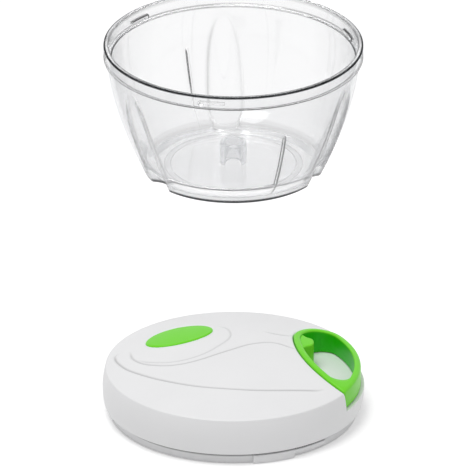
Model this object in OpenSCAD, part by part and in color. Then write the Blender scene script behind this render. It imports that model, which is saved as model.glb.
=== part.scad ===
// Pull-string food chopper, taken apart: a clear bowl, a lid with the cord drive in it,
// and the blade unit. Millimetres, +Z up, origin at the centre of the bowl's base.

/* [Layout] */
// Distance from the bowl's axis forward to the lid's axis
lid_gap = 279; // [220:1:360]
// Distance from the bowl's axis to the left, to the blade unit
blade_left = 156; // [130:1:220]
// Distance from the bowl's axis forward to the blade unit
blade_front = 144; // [110:1:180]

/* [Bowl] */
// Height of the bowl
bowl_h = 66; // [58:1:90]
// Outer radius of the rim
rim_r = 63.8; // [63:0.1:66]
// Height of the straight band under the rim
band_h = 7; // [5.5:0.5:10]
// Wall of the band
band_t = 2.6; // [2:0.1:2.8]
// Outer radius of the wall under the band
wall_top_r = 62; // [60:0.1:63]
// Outer radius of the base
base_r = 44; // [42:0.5:50]
// Thickness of the curved wall
wall_t = 2.2; // [1.6:0.1:2.6]
// How strongly the wall curves in towards the base
wall_curve = 1.6; // [1.3:0.05:2]
// Thickness of the floor
floor_t = 3; // [2:0.5:4]
// Radius of the flat part of the floor
floor_r = 37; // [32:0.5:38]
// Height of the sloping ring between floor and wall
corner_h = 7; // [4:0.5:9]
// Inner radius of the groove in the underside
groove_r = 31; // [26:0.5:33]
// Width of the groove in the underside
groove_w = 3; // [2:0.5:5]
// Depth of the groove in the underside
groove_d = 0.8; // [0.4:0.1:1]
// Radius of the scoop of each flute in the wall
flute_r = 9; // [7:0.5:11]
// Depth of each flute at the base
flute_d = 4.5; // [3:0.5:5]
// Height at which the flutes run out
flute_top = 54; // [48:1:56]
// Thickness of the upright ribs inside
fin_t = 1.2; // [0.8:0.1:2]
// How far the upright ribs stand in from the wall
fin_d = 1.6; // [1:0.1:2.5]
// Height of the upright ribs
fin_h = 40; // [30:1:48]
// Radius of the centre post
post_r = 6.5; // [6:0.1:7]
// Height of the centre post above the floor
post_h = 11; // [8:0.5:14]
// Radius of the hollow in the centre post
post_hollow_r = 4.4; // [3:0.1:5]
// Height of the stop ribs inside the band
stop_h = 1.2; // [0.8:0.1:2]
// Distance of the stop ribs below the rim
stop_down = 3.6; // [3.2:0.1:4.2]
// Arc that each stop rib takes, in degrees
stop_arc = 12; // [8:1:16]

/* [Lid] */
// Height of the lid at its centre
lid_h = 31.2; // [30.6:0.1:36]
// Largest outer radius of the cover
cover_r = 62.8; // [62.4:0.1:64]
// How far the side of the cover draws in, 10 mm from its widest level
side_bow = 1.45; // [0.5:0.05:1.6]
// Level at which the cover is widest
bow_z = 13; // [10:0.5:16]
// Level at which the side turns into the top
shoulder_z = 22.6; // [21.5:0.1:23.2]
// Radius of the rounded shoulder
shoulder_round = 1.4; // [1:0.1:3]
// Wall of the cover
cover_t = 2.2; // [1.6:0.1:2.6]
// Radius of the ring that drops into the bowl
plug_r = 59.2; // [58.6:0.1:59.6]
// Height of that ring, from its foot up to the cover's edge
plug_h = 5.6; // [5.2:0.1:7]
// Wall of that ring
plug_t = 2.4; // [1.6:0.1:3]
// Thickness of the lid's floor plate
plate_t = 2.4; // [2:0.1:2.6]
// How far the lugs stand out of the ring
lug_d = 1.6; // [1:0.1:1.7]
// Height of the tall part of each lug
lug_h = 4.2; // [3.6:0.1:4.4]
// Height of the low part of each lug
lug_strip_h = 1.9; // [1.2:0.1:2.4]
// Height of the sealing ring
seal_h = 1; // [0.6:0.1:1.2]
// Depth of the groove that holds the sealing ring
seal_groove = 1.2; // [0.8:0.1:1.4]
// How far the sealing ring stands out
seal_proud = 0.7; // [0.3:0.1:1.2]
// Half length of the oval inlay
inlay_a = 17.3; // [14:0.1:19]
// Half width of the oval inlay
inlay_b = 10.4; // [8:0.1:12]
// Depth of the recess for the oval inlay
inlay_deep = 1.2; // [0.8:0.1:1.5]
// How far the oval inlay stands above the cover
inlay_proud = 0.6; // [0:0.1:0.8]
// Width of the shallow line across the cover's top
line_w = 0.7; // [0.4:0.1:1.2]
// Depth of that line
line_d = 0.5; // [0.3:0.1:0.8]
// Distance of the case screws from the lid's axis
screw_ring_r = 50; // [44:0.5:52]
// Radius of the case screws' shanks
screw_r = 1.4; // [1:0.1:1.8]
// Radius of the case screws' heads
screw_head_r = 2.8; // [2.4:0.1:3.2]
// Height of the case screws' heads
screw_head_h = 1.6; // [1:0.1:2]
// How deep the case screws go into the cover
screw_grip = 9; // [6:0.5:11]
// Radius of the screw posts in the cover
screw_post_r = 3.6; // [3:0.1:4.5]

/* [Handle] */
// Level of the handle's underside
handle_z = 14.6; // [14.2:0.1:15.4]
// Wall of the handle's ring
handle_wall = 3.2; // [2.6:0.1:3.6]
// How far the handle's top stands above the cover
handle_proud = 0.8; // [0.3:0.1:1.5]
// Radius of the handle's long inner side
side_arc_r = 70; // [69.5:0.1:70.5]
// Radius of the handle's rounded back end
back_arc_r = 18.3; // [17.6:0.1:19]
// Where the long side's arc is centred, to the right of the lid's axis
side_arc_x = 98.9; // [98.6:0.1:99.4]
// Where the long side's arc is centred, behind the lid's axis
side_arc_y = 22.7; // [22:0.1:23.4]
// Direction in which the two arcs meet, in degrees
arc_join = 182.1; // [181:0.1:183]
// Radius of the handle's right-hand side, round the lid's axis
edge_r = 61.2; // [60.6:0.1:61.4]
// Radius of the handle's corner between its back end and its right-hand side
corner_r = 11; // [8:0.5:13]
// Radius of the finger hole's front end
hole_round = 6.5; // [4:0.5:8]
// Width of the cord's boss at the handle's wall
boss_w = 14; // [12:0.5:15]
// Width of the cord's boss at its end
boss_tip_w = 9; // [8.6:0.2:10]
// How far the cord's boss reaches into the handle's hole
boss_d = 6.5; // [6.2:0.1:7]
// Height of the cord's boss
boss_h = 12.6; // [12:0.2:13.2]

/* [Drive] */
// Radius at which the cord winds, to the middle of the cord
wind_r = 19; // [18.5:0.1:19.5]
// Thickness of the cord
cord_d = 1.8; // [1.2:0.1:2]
// Radius of the drum's flanges
flange_r = 24; // [22.5:0.1:25]
// Thickness of the drum's flanges
flange_t = 1.4; // [1:0.1:1.6]
// Height of the winding
wind_h = 7; // [6:0.1:7.4]
// Radius of the drum's hub
hub_r = 9.45; // [9:0.05:10]
// Wall of the drum's hub
hub_t = 1.5; // [1.2:0.1:1.8]
// Radius of the drum's upper journal
journal_r = 4; // [3:0.1:5]
// Length of the drum's upper journal
journal_h = 2.8; // [2:0.1:3]
// Wall of the bush in the lid's floor
bush_t = 2; // [1.5:0.1:2.5]
// Height of the spring's cup on the lid's floor
cup_h = 7.4; // [6:0.1:8]
// Inner radius of the spring's cup
cup_r = 21.5; // [19:0.1:22]
// Wall of the spring's cup
cup_t = 1.8; // [1.2:0.1:2]
// Thickness of the return spring's strip
spring_t = 0.5; // [0.3:0.05:0.7]
// Width of the return spring's strip
spring_w = 6; // [4:0.1:6.6]
// Turns of the return spring
spring_turns = 6; // [4:1:8]
// Thickness of the plate over the spring
spring_plate_t = 1; // [0.8:0.1:1.2]
// Thickness of the washer under the drum
washer_t = 0.6; // [0.4:0.1:0.8]
// Corner radius of the hexagonal drive key
key_r = 6; // [5:0.1:6.2]
// Depth of the socket for the drive key
socket_deep = 9; // [7:0.1:9.6]
// Radius of the drive screw's shank
drive_screw_r = 1.5; // [1.2:0.1:1.8]
// Radius of the drive screw's head
drive_head_r = 2.9; // [2.4:0.1:3.1]
// Height of the drive screw's head
drive_head_h = 1.8; // [1.2:0.1:2]
// Length of the drive screw's shank
drive_screw_l = 12; // [8:0.5:13]

/* [Blade unit] */
// Height of the blade unit's shaft
shaft_h = 56; // [52:1:60]
// Radius of the shaft
shaft_r = 9; // [8.6:0.1:9.6]
// Radius of the sleeves between the blades
sleeve_r = 11; // [10.4:0.1:12]
// Radius of the foot under the shaft
foot_r = 14; // [13:0.5:18]
// Height of the foot under the shaft
foot_h = 5; // [4:0.5:6]
// Radius that the blades reach
blade_r = 36; // [30:0.5:38]
// Thickness of the blades
blade_t = 1.2; // [0.8:0.1:1.6]
// Width of the blades at the shaft
blade_w = 15; // [11:0.5:17]
// Height of the lower and the middle sleeve
sleeve_h = 16.8; // [14:0.2:17.6]
// Height of the drive key above its collar
key_h = 8; // [6:0.2:8.4]
// Height of the drive key's collar
key_collar_h = 2; // [1.5:0.1:3]
// Radius of the drive key's stem
key_stem_r = 4.5; // [4:0.1:5.5]
// Length of the drive key's stem
key_stem_l = 10; // [8:0.5:14]

/* [Fits] */
// Running clearance round a shaft
run_gap = 0.06; // [0.02:0.01:0.1]
// Clearance round pieces that are pressed or screwed together
seat_gap = 0.03; // [0.02:0.01:0.05]
// Gap between faces that move past each other
move_gap = 0.4; // [0.3:0.05:0.6]

/* [Hidden] */
$fn = 96;

white = [0.9, 0.9, 0.91];
green = [0.49, 0.83, 0.27];
clear = [0.85, 0.9, 0.92, 0.35];
steel = [0.72, 0.73, 0.75];
grey = [0.55, 0.56, 0.58];
big = 200;

// Bowl
band_z = bowl_h - band_h;
bore_r = rim_r - band_t;
wall_steps = 12;
flute_angles = [335, 215, 95];
fin_angles = [296, 114];
stop_angles = [14, 134, 254];
stop_in_r = plug_r + move_gap;
stop_z = bowl_h - stop_down - stop_h;
stop_hook = 2;
flute_axis_r = base_r - flute_d + flute_r;
flute_tilt = atan((wall_r(flute_top) + flute_r - flute_axis_r) / flute_top);
post_top = floor_t + post_h;

// Lid
arc_end = 75;
round_r = side_r(shoulder_z) - shoulder_round;
dome_r = round_r + shoulder_round * cos(arc_end);
dome_edge_z = shoulder_z + shoulder_round * sin(arc_end);
dome_rise = lid_h - dome_edge_z;
dome_curve = tan(90 - arc_end) * dome_r / dome_rise;
plate_z = plug_h - plate_t;
plug_mid_r = plug_r - plug_t * 0.8;
inlay_x = -26;
inlay_y = 22;
inlay_turn = 27;
line_x = 8;
line_y = 28;
line_r = 66;
lug_angles = [279, 39, 159];
lug_block_arc = 20;
lug_strip_arc = 19;
lug_strip_in = 0.2;
screw_angles = [75, 155, 235, 305];
screw_boss_h = 1.2;
spigot_h = 2;

// Handle
pocket_z = handle_z - move_gap;
back_arc_x = side_arc_x + (side_arc_r - back_arc_r) * cos(arc_join);
back_arc_y = side_arc_y + (side_arc_r - back_arc_r) * sin(arc_join);
front_end = 243;
corner_at = meet([back_arc_x, back_arc_y], back_arc_r - corner_r, edge_r - corner_r, -1);
corner_start = atan2(corner_at[1] - back_arc_y, corner_at[0] - back_arc_x);
corner_end = atan2(corner_at[1], corner_at[0]);

// Drive, from the lid's floor upwards
cup_top = plug_h + cup_h;
spring_plate_top = cup_top + spring_plate_t;
drum_z = spring_plate_top + washer_t;
core_z = drum_z + flange_t;
wind_top = core_z + wind_h;
drum_top = wind_top + flange_t;
core_r = wind_r - cord_d / 2;
cord_z = core_z + wind_h / 2;
cord_y = wind_r;
hub_low = 1.4;
bush_r = hub_r + run_gap;
bush_out_r = bush_r + bush_t;
bush_flange_r = bush_out_r + 1.5;
bush_flange_t = 0.8;
spigot_r = 8;
socket_r = hub_r - hub_t;
socket_low = 1;
socket_top = socket_low + socket_deep;
socket_head = 3;
hub_roof = socket_top + socket_head;
bearing_r = journal_r + 3;
bearing_gap = 0.4;
seal_z = plate_z - 1.6;

// Cord, along the lid's right-hand side
wall_x = side_arc_x - sqrt(pow(side_arc_r + move_gap, 2) - pow(cord_y - side_arc_y, 2));
ring_x = side_arc_x - sqrt(pow(side_arc_r - handle_wall, 2) - pow(cord_y - side_arc_y, 2));
knot_r = 2.4;
knot_x = ring_x + boss_d - knot_r - 1.2;
cord_hole_r = cord_d / 2 + 0.2;
eyelet_r = cord_hole_r + 1;
eyelet_flange_r = eyelet_r + 1;
eyelet_flange_t = 0.8;
eyelet_back = 0.15;

// Blade unit, from the foot upwards
blade_z = foot_h;
middle_z = blade_z + blade_t + sleeve_h;
upper_z = middle_z + blade_t + sleeve_h;
upper_sleeve_z = upper_z + blade_t;
blade_steps = 10;
blade_sweep = 34;
blade_tip_share = 0.22;
blade_angles = [180, 300, 60];

function wall_r(z) = wall_top_r - (wall_top_r - base_r) * pow(1 - z / band_z, wall_curve);
function side_r(z) = cover_r - side_bow * pow((z - bow_z) / 10, 2);
function dome_z(r) = lid_h - dome_rise * pow(r / dome_r, dome_curve);
function along(a, b, n) = [for (i = [0 : n]) a + (b - a) * i / n];
function polar(r, a) = [r * cos(a), r * sin(a)];
function ellipse(a, b) = [for (t = [0 : 7.5 : 359]) [a * cos(t), b * sin(t)]];

// Where a circle crosses a circle round the lid's axis, at the front (1) or at the back (-1)
function meet(c, r, axis_r, way) =
    let (d = norm(c), a = (axis_r * axis_r - r * r + d * d) / (2 * d), h = sqrt(axis_r * axis_r - a * a))
    [c[0] * a + way * c[1] * h, c[1] * a - way * c[0] * h] / d;

// The handle's outline from above, grown by g
function handle_loop(g) =
    let (tip = meet([side_arc_x, side_arc_y], side_arc_r + g, edge_r + g, 1),
        tip_turn = 360 + atan2(tip[1] - side_arc_y, tip[0] - side_arc_x),
        edge_turns = along(corner_end, atan2(tip[1], tip[0]), 12))
    concat(
        [for (a = along(tip_turn, arc_join, 14))
            [side_arc_x, side_arc_y] + polar(side_arc_r + g, a)],
        [for (a = along(arc_join - 6, corner_start, 8))
            [back_arc_x, back_arc_y] + polar(back_arc_r + g, a)],
        [for (a = along(corner_start - 8, corner_end, 9))
            corner_at + polar(corner_r + g, a)],
        [for (i = [1 : 11]) polar(edge_r + g, edge_turns[i])]);

// The finger hole's outline from above, with its front end rounded
function hole_loop() =
    let (side = side_arc_r - handle_wall, edge = edge_r - handle_wall,
        tip_at = meet([side_arc_x, side_arc_y], side - hole_round, edge - hole_round, 1),
        tip_start = atan2(tip_at[1], tip_at[0]),
        tip_end = atan2(tip_at[1] - side_arc_y, tip_at[0] - side_arc_x),
        edge_turns = along(corner_end, tip_start, 12),
        tip_turns = along(tip_start, tip_end, 8))
    concat(
        [for (a = along(360 + tip_end, arc_join, 14))
            [side_arc_x, side_arc_y] + polar(side, a)],
        [for (a = along(arc_join - 6, corner_start, 8))
            [back_arc_x, back_arc_y] + polar(back_arc_r - handle_wall, a)],
        [for (a = along(corner_start - 8, corner_end, 9))
            corner_at + polar(corner_r - handle_wall, a)],
        [for (i = [1 : 12]) polar(edge, edge_turns[i])],
        [for (i = [1 : 7]) tip_at + polar(hole_round, tip_turns[i])]);

// The pocket's outline from above, the handle's long side and back end grown by g;
// it runs out past the lid's side on the right, so that the handle can be pulled out
function pocket_outline(g) = concat(
    [for (a = along(front_end, arc_join, 14))
        [side_arc_x, side_arc_y] + polar(side_arc_r + g, a)],
    [for (a = along(arc_join - 6, 90, 12))
        [back_arc_x, back_arc_y] + polar(back_arc_r + g, a)],
    [[big / 2, back_arc_y + back_arc_r + g], [big / 2, -big / 4]]);

// A ring of rectangular section, or part of one
module ring(r_in, r_out, z, h, angle = 360) {
    rotate_extrude(angle = angle)
        translate([r_in, z])
            square([r_out - r_in, h]);
}

module tube(r_in, r_out, h) {
    difference() {
        cylinder(r = r_out, h = h);
        translate([0, 0, -1])
            cylinder(r = r_in, h = h + 2);
    }
}

module at_lid() {
    translate([0, -lid_gap, 0])
        children();
}

module at_blade() {
    translate([-blade_left, -blade_front, 0])
        children();
}

// Bowl

module bowl_outside() {
    rotate_extrude()
        polygon(concat(
            [[0, 0]],
            [for (z = along(0, band_z, wall_steps)) [wall_r(z), z]],
            [[rim_r, band_z], [rim_r, bowl_h], [0, bowl_h]]));
}

module bowl_inside() {
    corner_z = floor_t + corner_h;
    rotate_extrude()
        polygon(concat(
            [[0, floor_t], [floor_r, floor_t]],
            [for (z = along(corner_z, band_z, wall_steps)) [wall_r(z) - wall_t, z]],
            [[bore_r, band_z], [bore_r, bowl_h + 1], [0, bowl_h + 1]]));
}

module flutes(r) {
    for (a = flute_angles)
        rotate([0, 0, a])
            translate([flute_axis_r, 0, 0])
                rotate([0, flute_tilt, 0])
                    translate([0, 0, -big / 8])
                        cylinder(r = r, h = big / 2);
}

module fins() {
    levels = along(floor_t + 1, fin_h, wall_steps);
    intersection() {
        rotate_extrude()
            polygon(concat(
                [for (z = levels) [wall_r(z) - wall_t / 2, z]],
                [for (i = [wall_steps : -1 : 0])
                    [wall_r(levels[i]) - wall_t - fin_d, levels[i]]]));
        for (a = fin_angles)
            rotate([0, 0, a])
                translate([0, -fin_t / 2, 0])
                    cube([big / 2, fin_t, bowl_h]);
    }
}

module stops() {
    for (a = stop_angles)
        rotate([0, 0, a]) {
            ring(stop_in_r, bore_r + band_t / 2, stop_z, stop_h, stop_arc);
            ring(stop_in_r, bore_r + band_t / 2, stop_z - stop_hook / 2, stop_h + stop_hook / 2, stop_hook);
        }
}

module post() {
    difference() {
        translate([0, 0, floor_t / 2])
            cylinder(r = post_r, h = post_top - floor_t / 2);
        translate([0, 0, floor_t])
            cylinder(r = post_hollow_r, h = post_top);
    }
}

module bowl() {
    color(clear)
        difference() {
            union() {
                difference() {
                    bowl_outside();
                    bowl_inside();
                }
                intersection() {
                    bowl_outside();
                    flutes(flute_r + wall_t);
                    cylinder(r = rim_r, h = band_z);
                }
                fins();
                stops();
                post();
            }
            flutes(flute_r);
            ring(groove_r, groove_r + groove_w, -1, groove_d + 1);
        }
}

// Lid: cover, base and what is fixed to them

module cover_body(lift = 0) {
    translate([0, 0, lift])
        rotate_extrude()
            polygon(concat(
                [[0, plug_h - lift]],
                [for (z = along(plug_h - lift, shoulder_z, 5)) [side_r(z), z]],
                [for (a = along(15, arc_end, 4))
                    [round_r, shoulder_z] + polar(shoulder_round, a)],
                [for (r = along(dome_r, 0, 10)) if (r < dome_r) [r, dome_z(r)]]));
}

module cover_cavity() {
    top_r = dome_r - cover_t;
    rotate_extrude()
        polygon(concat(
            [[0, plug_h - 1], [side_r(plug_h) - cover_t, plug_h - 1]],
            [for (z = along(plug_h, dome_edge_z - cover_t, 5)) [side_r(z) - cover_t, z]],
            [for (r = along(top_r, 0, 10)) [r, dome_z(r) - cover_t]]));
}

module pocket_prism(g, z, h) {
    translate([0, 0, z])
        linear_extrude(h)
            polygon(pocket_outline(g));
}

module inlay_prism(g) {
    translate([inlay_x, inlay_y, 0])
        rotate([0, 0, inlay_turn])
            linear_extrude(lid_h + 5)
                polygon(ellipse(inlay_a + g, inlay_b + g));
}

module cord_axis(x, r, l) {
    translate([x, cord_y, cord_z])
        rotate([0, 90, 0])
            cylinder(r = r, h = l);
}

module cover_posts() {
    for (a = screw_angles)
        rotate([0, 0, a])
            translate([screw_ring_r, 0, plug_h])
                cylinder(r = screw_post_r, h = lid_h);
    translate([0, 0, drum_top + bearing_gap])
        cylinder(r = bearing_r, h = lid_h);
}

module top_line() {
    difference() {
        translate([line_x, line_y, shoulder_z])
            tube(line_r - line_w / 2, line_r + line_w / 2, lid_h);
        cover_body(-line_d);
    }
}

module top_cover() {
    color(white)
        at_lid()
            difference() {
                union() {
                    difference() {
                        cover_body();
                        cover_cavity();
                    }
                    intersection() {
                        cover_body();
                        pocket_prism(move_gap + cover_t, pocket_z - cover_t, lid_h);
                    }
                    intersection() {
                        cover_body();
                        cover_posts();
                    }
                }
                pocket_prism(move_gap, pocket_z, lid_h);
                cord_axis(wall_x - cover_t * 2, eyelet_r + seat_gap, cover_t * 3);
                difference() {
                    inlay_prism(seat_gap);
                    cover_body(-inlay_deep);
                }
                top_line();
                for (a = screw_angles)
                    rotate([0, 0, a])
                        translate([screw_ring_r, 0, 0])
                            cylinder(r = screw_r + seat_gap, h = plug_h + screw_grip + 1);
                cylinder(r = journal_r + run_gap, h = drum_top + journal_h + bearing_gap);
            }
}

module oval_inlay() {
    color(green)
        at_lid()
            difference() {
                intersection() {
                    inlay_prism(0);
                    cover_body(inlay_proud);
                }
                cover_body(-inlay_deep);
            }
}

// Each lug is a tall block with a lower, slightly thinner strip running on from it
module lugs() {
    strip_r = plug_r + lug_d - lug_strip_in;
    strip_z = lug_h - lug_strip_h - lug_strip_in;
    for (a = lug_angles)
        rotate([0, 0, a]) {
            ring(plug_mid_r, plug_r + lug_d, 0, lug_h, lug_block_arc);
            rotate([0, 0, lug_block_arc - 1])
                ring(plug_mid_r - lug_strip_in, strip_r, strip_z, lug_strip_h, lug_strip_arc);
        }
}

module lid_base() {
    color(white)
        at_lid()
            difference() {
                union() {
                    ring(plug_r - plug_t, plug_r, 0, plug_h);
                    translate([0, 0, plate_z])
                        cylinder(r = plug_mid_r, h = plate_t);
                    ring(plug_r - plug_t, side_r(plug_h) - cover_t - seat_gap, plug_h, spigot_h);
                    lugs();
                    translate([0, 0, seal_z])
                        cylinder(r = bush_flange_r + 2, h = plate_t);
                    ring(cup_r, cup_r + cup_t, plug_h - 0.5, cup_h + 0.5);
                    for (a = screw_angles)
                        rotate([0, 0, a])
                            translate([screw_ring_r, 0, plate_z - screw_boss_h])
                                cylinder(r = screw_head_r + 1.5, h = screw_boss_h + 1);
                }
                translate([0, 0, -1])
                    cylinder(r = bush_out_r + seat_gap, h = lid_h);
                translate([0, 0, plug_h - bush_flange_t])
                    cylinder(r = bush_flange_r + seat_gap, h = bush_flange_t + 1);
                translate([0, 0, seal_z - 1])
                    cylinder(r = bush_out_r + 1, h = plate_z - seal_z + 1);
                ring(plug_r - seal_groove, plug_r + lug_d, plug_h - seal_h, seal_h);
                for (a = screw_angles)
                    rotate([0, 0, a])
                        translate([screw_ring_r, 0, 0]) {
                            translate([0, 0, -1])
                                cylinder(r = screw_r + seat_gap, h = lid_h);
                            translate([0, 0, plate_z - screw_boss_h - 1])
                                cylinder(r = screw_head_r + seat_gap, h = screw_head_h + 1);
                        }
            }
}

module rim_seal() {
    color(grey)
        at_lid()
            ring(plug_r - seal_groove + seat_gap, plug_r + seal_proud,
                plug_h - seal_h + seat_gap, seal_h - 2 * seat_gap);
}

module cord_eyelet() {
    x = wall_x - cover_t - eyelet_back;
    color(steel)
        at_lid()
            difference() {
                union() {
                    cord_axis(x - eyelet_flange_t, eyelet_flange_r, eyelet_flange_t);
                    cord_axis(x - eyelet_flange_t, eyelet_r, cover_t + eyelet_flange_t + eyelet_back - move_gap);
                }
                cord_axis(x - big / 4, cord_hole_r, big / 2);
            }
}

module base_screws() {
    head_z = plate_z - screw_boss_h;
    color(steel)
        at_lid()
            for (a = screw_angles)
                rotate([0, 0, a])
                    translate([screw_ring_r, 0, 0])
                        difference() {
                            union() {
                                translate([0, 0, head_z])
                                    cylinder(r = screw_head_r, h = screw_head_h - seat_gap);
                                translate([0, 0, head_z])
                                    cylinder(r = screw_r, h = plug_h + screw_grip - head_z);
                            }
                            for (t = [0, 90])
                                rotate([0, 0, t])
                                    translate([0, 0, head_z])
                                        cube([screw_head_r, 0.6, screw_head_h], center = true);
                        }
}

module drive_bush() {
    color(steel)
        at_lid()
            difference() {
                union() {
                    translate([0, 0, plate_z])
                        cylinder(r = bush_out_r, h = plate_t);
                    translate([0, 0, plug_h - bush_flange_t])
                        cylinder(r = bush_flange_r, h = bush_flange_t);
                }
                cylinder(r = bush_r, h = lid_h);
            }
}

module shaft_seal() {
    color(grey)
        at_lid()
            ring(hub_r + move_gap, bush_out_r + 1 - seat_gap, seal_z, plate_z - seal_z - seat_gap);
}

module spring_plate() {
    color(white)
        at_lid()
            ring(hub_r + move_gap, cup_r + cup_t, cup_top, spring_plate_t);
}

module return_spring() {
    steps = spring_turns * 24;
    r_start = hub_r + spring_t / 2 + run_gap;
    r_end = cup_r - spring_t / 2 - run_gap;
    radii = along(r_start, r_end, steps);
    color(steel)
        at_lid()
            translate([0, 0, plug_h + (cup_h - spring_w) / 2])
                linear_extrude(spring_w)
                    polygon(concat(
                        [for (i = [0 : steps]) polar(radii[i] - spring_t / 2, i * 15)],
                        [for (i = [steps : -1 : 0]) polar(radii[i] + spring_t / 2, i * 15)]));
}

// Handle and cord

module boss_prism(g) {
    wall = ring_x - handle_wall / 2;
    tip = ring_x + boss_d;
    polygon([[wall, cord_y - boss_w / 2 - g], [tip, cord_y - boss_tip_w / 2 - g],
        [tip, cord_y + boss_tip_w / 2 + g], [wall, cord_y + boss_w / 2 + g]]);
}

module pull_handle() {
    color(green)
        at_lid()
            difference() {
                intersection() {
                    union() {
                        translate([0, 0, handle_z])
                            linear_extrude(lid_h)
                                difference() {
                                    polygon(handle_loop(0));
                                    polygon(hole_loop());
                                }
                        translate([0, 0, handle_z])
                            linear_extrude(boss_h)
                                boss_prism(0);
                    }
                    cover_body(handle_proud);
                }
                cord_axis(0, cord_hole_r, knot_x);
                translate([knot_x, cord_y, handle_z - 1])
                    cylinder(r = knot_r + move_gap, h = cord_z + knot_r + 2 * move_gap - handle_z + 1);
            }
}

module cord_run() {
    color(white)
        at_lid()
            cord_axis(seat_gap, cord_d / 2, knot_x - knot_r + 0.2);
}

module cord_knot() {
    color(white)
        at_lid()
            difference() {
                translate([knot_x, cord_y, cord_z])
                    sphere(r = knot_r);
                cord_axis(0, cord_d / 2 + seat_gap, knot_x - knot_r + 0.2 + 2 * seat_gap);
            }
}

// Drum

module cord_drum() {
    color(white)
        at_lid()
            difference() {
                union() {
                    translate([0, 0, hub_low])
                        cylinder(r = hub_r, h = wind_top - hub_low);
                    translate([0, 0, drum_z])
                        cylinder(r = flange_r, h = flange_t);
                    translate([0, 0, core_z])
                        cylinder(r = core_r, h = wind_h);
                    translate([0, 0, wind_top])
                        cylinder(r = spigot_r, h = flange_t);
                    translate([0, 0, drum_top])
                        cylinder(r = journal_r, h = journal_h);
                }
                cylinder(r = socket_r, h = hub_roof);
                cylinder(r = drive_screw_r + seat_gap, h = socket_top + drive_screw_l + 0.5);
            }
}

module drum_flange() {
    color(white)
        at_lid()
            ring(spigot_r + seat_gap, flange_r, wind_top, flange_t);
}

module cord_winding() {
    color(white)
        at_lid()
            difference() {
                ring(core_r + seat_gap, wind_r + cord_d / 2, core_z + seat_gap, wind_h - 2 * seat_gap);
                cord_axis(0, cord_d / 2 + seat_gap, big / 4);
            }
}

module drum_washer() {
    color(steel)
        at_lid()
            ring(hub_r + run_gap, hub_r + 4, spring_plate_top, washer_t);
}

module drive_socket() {
    color(grey)
        at_lid()
            difference() {
                translate([0, 0, socket_low])
                    cylinder(r = socket_r - seat_gap, h = hub_roof - socket_low);
                translate([0, 0, socket_low - 1])
                    cylinder(r = key_r + move_gap / 2, h = socket_deep + 1, $fn = 6);
                cylinder(r = drive_screw_r + seat_gap, h = lid_h);
            }
}

module drive_screw() {
    color(steel)
        at_lid()
            difference() {
                union() {
                    translate([0, 0, socket_top - drive_head_h])
                        cylinder(r = drive_head_r, h = drive_head_h);
                    translate([0, 0, socket_top - 0.5])
                        cylinder(r = drive_screw_r, h = drive_screw_l);
                }
                for (t = [0, 90])
                    rotate([0, 0, t])
                        translate([0, 0, socket_top - drive_head_h])
                            cube([drive_head_r, 0.6, drive_head_h], center = true);
            }
}

// Blade unit

module blade(z, turn) {
    ts = along(0, 1, blade_steps);
    root = (sleeve_r + shaft_r) / 2;
    rs = [for (t = ts) root + (blade_r - root) * t];
    mid = [for (t = ts) blade_sweep * t * t];
    half = [for (t = ts) asin(blade_w / 2 * (1 - (1 - blade_tip_share) * t * t) / rs[round(t * blade_steps)])];
    color(steel)
        at_blade()
            translate([0, 0, z])
                rotate([0, 0, turn])
                    linear_extrude(blade_t)
                        difference() {
                            union() {
                                circle(r = sleeve_r);
                                polygon(concat(
                                    [for (i = [0 : blade_steps]) polar(rs[i], mid[i] - half[i])],
                                    [for (i = [blade_steps : -1 : 0]) polar(rs[i], mid[i] + half[i])]));
                            }
                            circle(r = shaft_r + seat_gap);
                        }
}

module sleeve(z, h) {
    color(white)
        at_blade()
            ring(shaft_r + seat_gap, sleeve_r, z, h);
}

module blade_shaft() {
    color(white)
        at_blade()
            difference() {
                cylinder(r = shaft_r, h = shaft_h);
                translate([0, 0, -1])
                    cylinder(r = post_r + run_gap, h = post_h + 1 + run_gap);
                translate([0, 0, shaft_h - key_stem_l - 0.5])
                    cylinder(r = key_stem_r + seat_gap, h = shaft_h);
            }
}

module shaft_foot() {
    color(grey)
        at_blade()
            ring(shaft_r + seat_gap, foot_r, 0, foot_h);
}

module lower_blade() {
    blade(blade_z, blade_angles[0]);
}

module middle_blade() {
    blade(middle_z, blade_angles[1]);
}

module upper_blade() {
    blade(upper_z, blade_angles[2]);
}

module lower_sleeve() {
    sleeve(blade_z + blade_t, sleeve_h);
}

module middle_sleeve() {
    sleeve(middle_z + blade_t, sleeve_h);
}

module upper_sleeve() {
    sleeve(upper_sleeve_z, shaft_h - upper_sleeve_z);
}

module drive_key() {
    color(grey)
        at_blade()
            difference() {
                union() {
                    translate([0, 0, shaft_h - key_stem_l])
                        cylinder(r = key_stem_r, h = key_stem_l + 1);
                    translate([0, 0, shaft_h])
                        cylinder(r = sleeve_r, h = key_collar_h);
                    translate([0, 0, shaft_h + 1])
                        cylinder(r = key_r, h = key_collar_h - 1 + key_h, $fn = 6);
                }
                translate([0, 0, shaft_h + key_collar_h + key_h - drive_head_h - 1])
                    cylinder(r = drive_head_r + move_gap, h = big);
            }
}

bowl();
top_cover();
oval_inlay();
lid_base();
rim_seal();
cord_eyelet();
base_screws();
drive_bush();
shaft_seal();
spring_plate();
return_spring();
pull_handle();
cord_run();
cord_knot();
cord_drum();
drum_flange();
cord_winding();
drum_washer();
drive_socket();
drive_screw();
blade_shaft();
shaft_foot();
lower_blade();
middle_blade();
upper_blade();
lower_sleeve();
middle_sleeve();
upper_sleeve();
drive_key();
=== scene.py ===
import math

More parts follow.
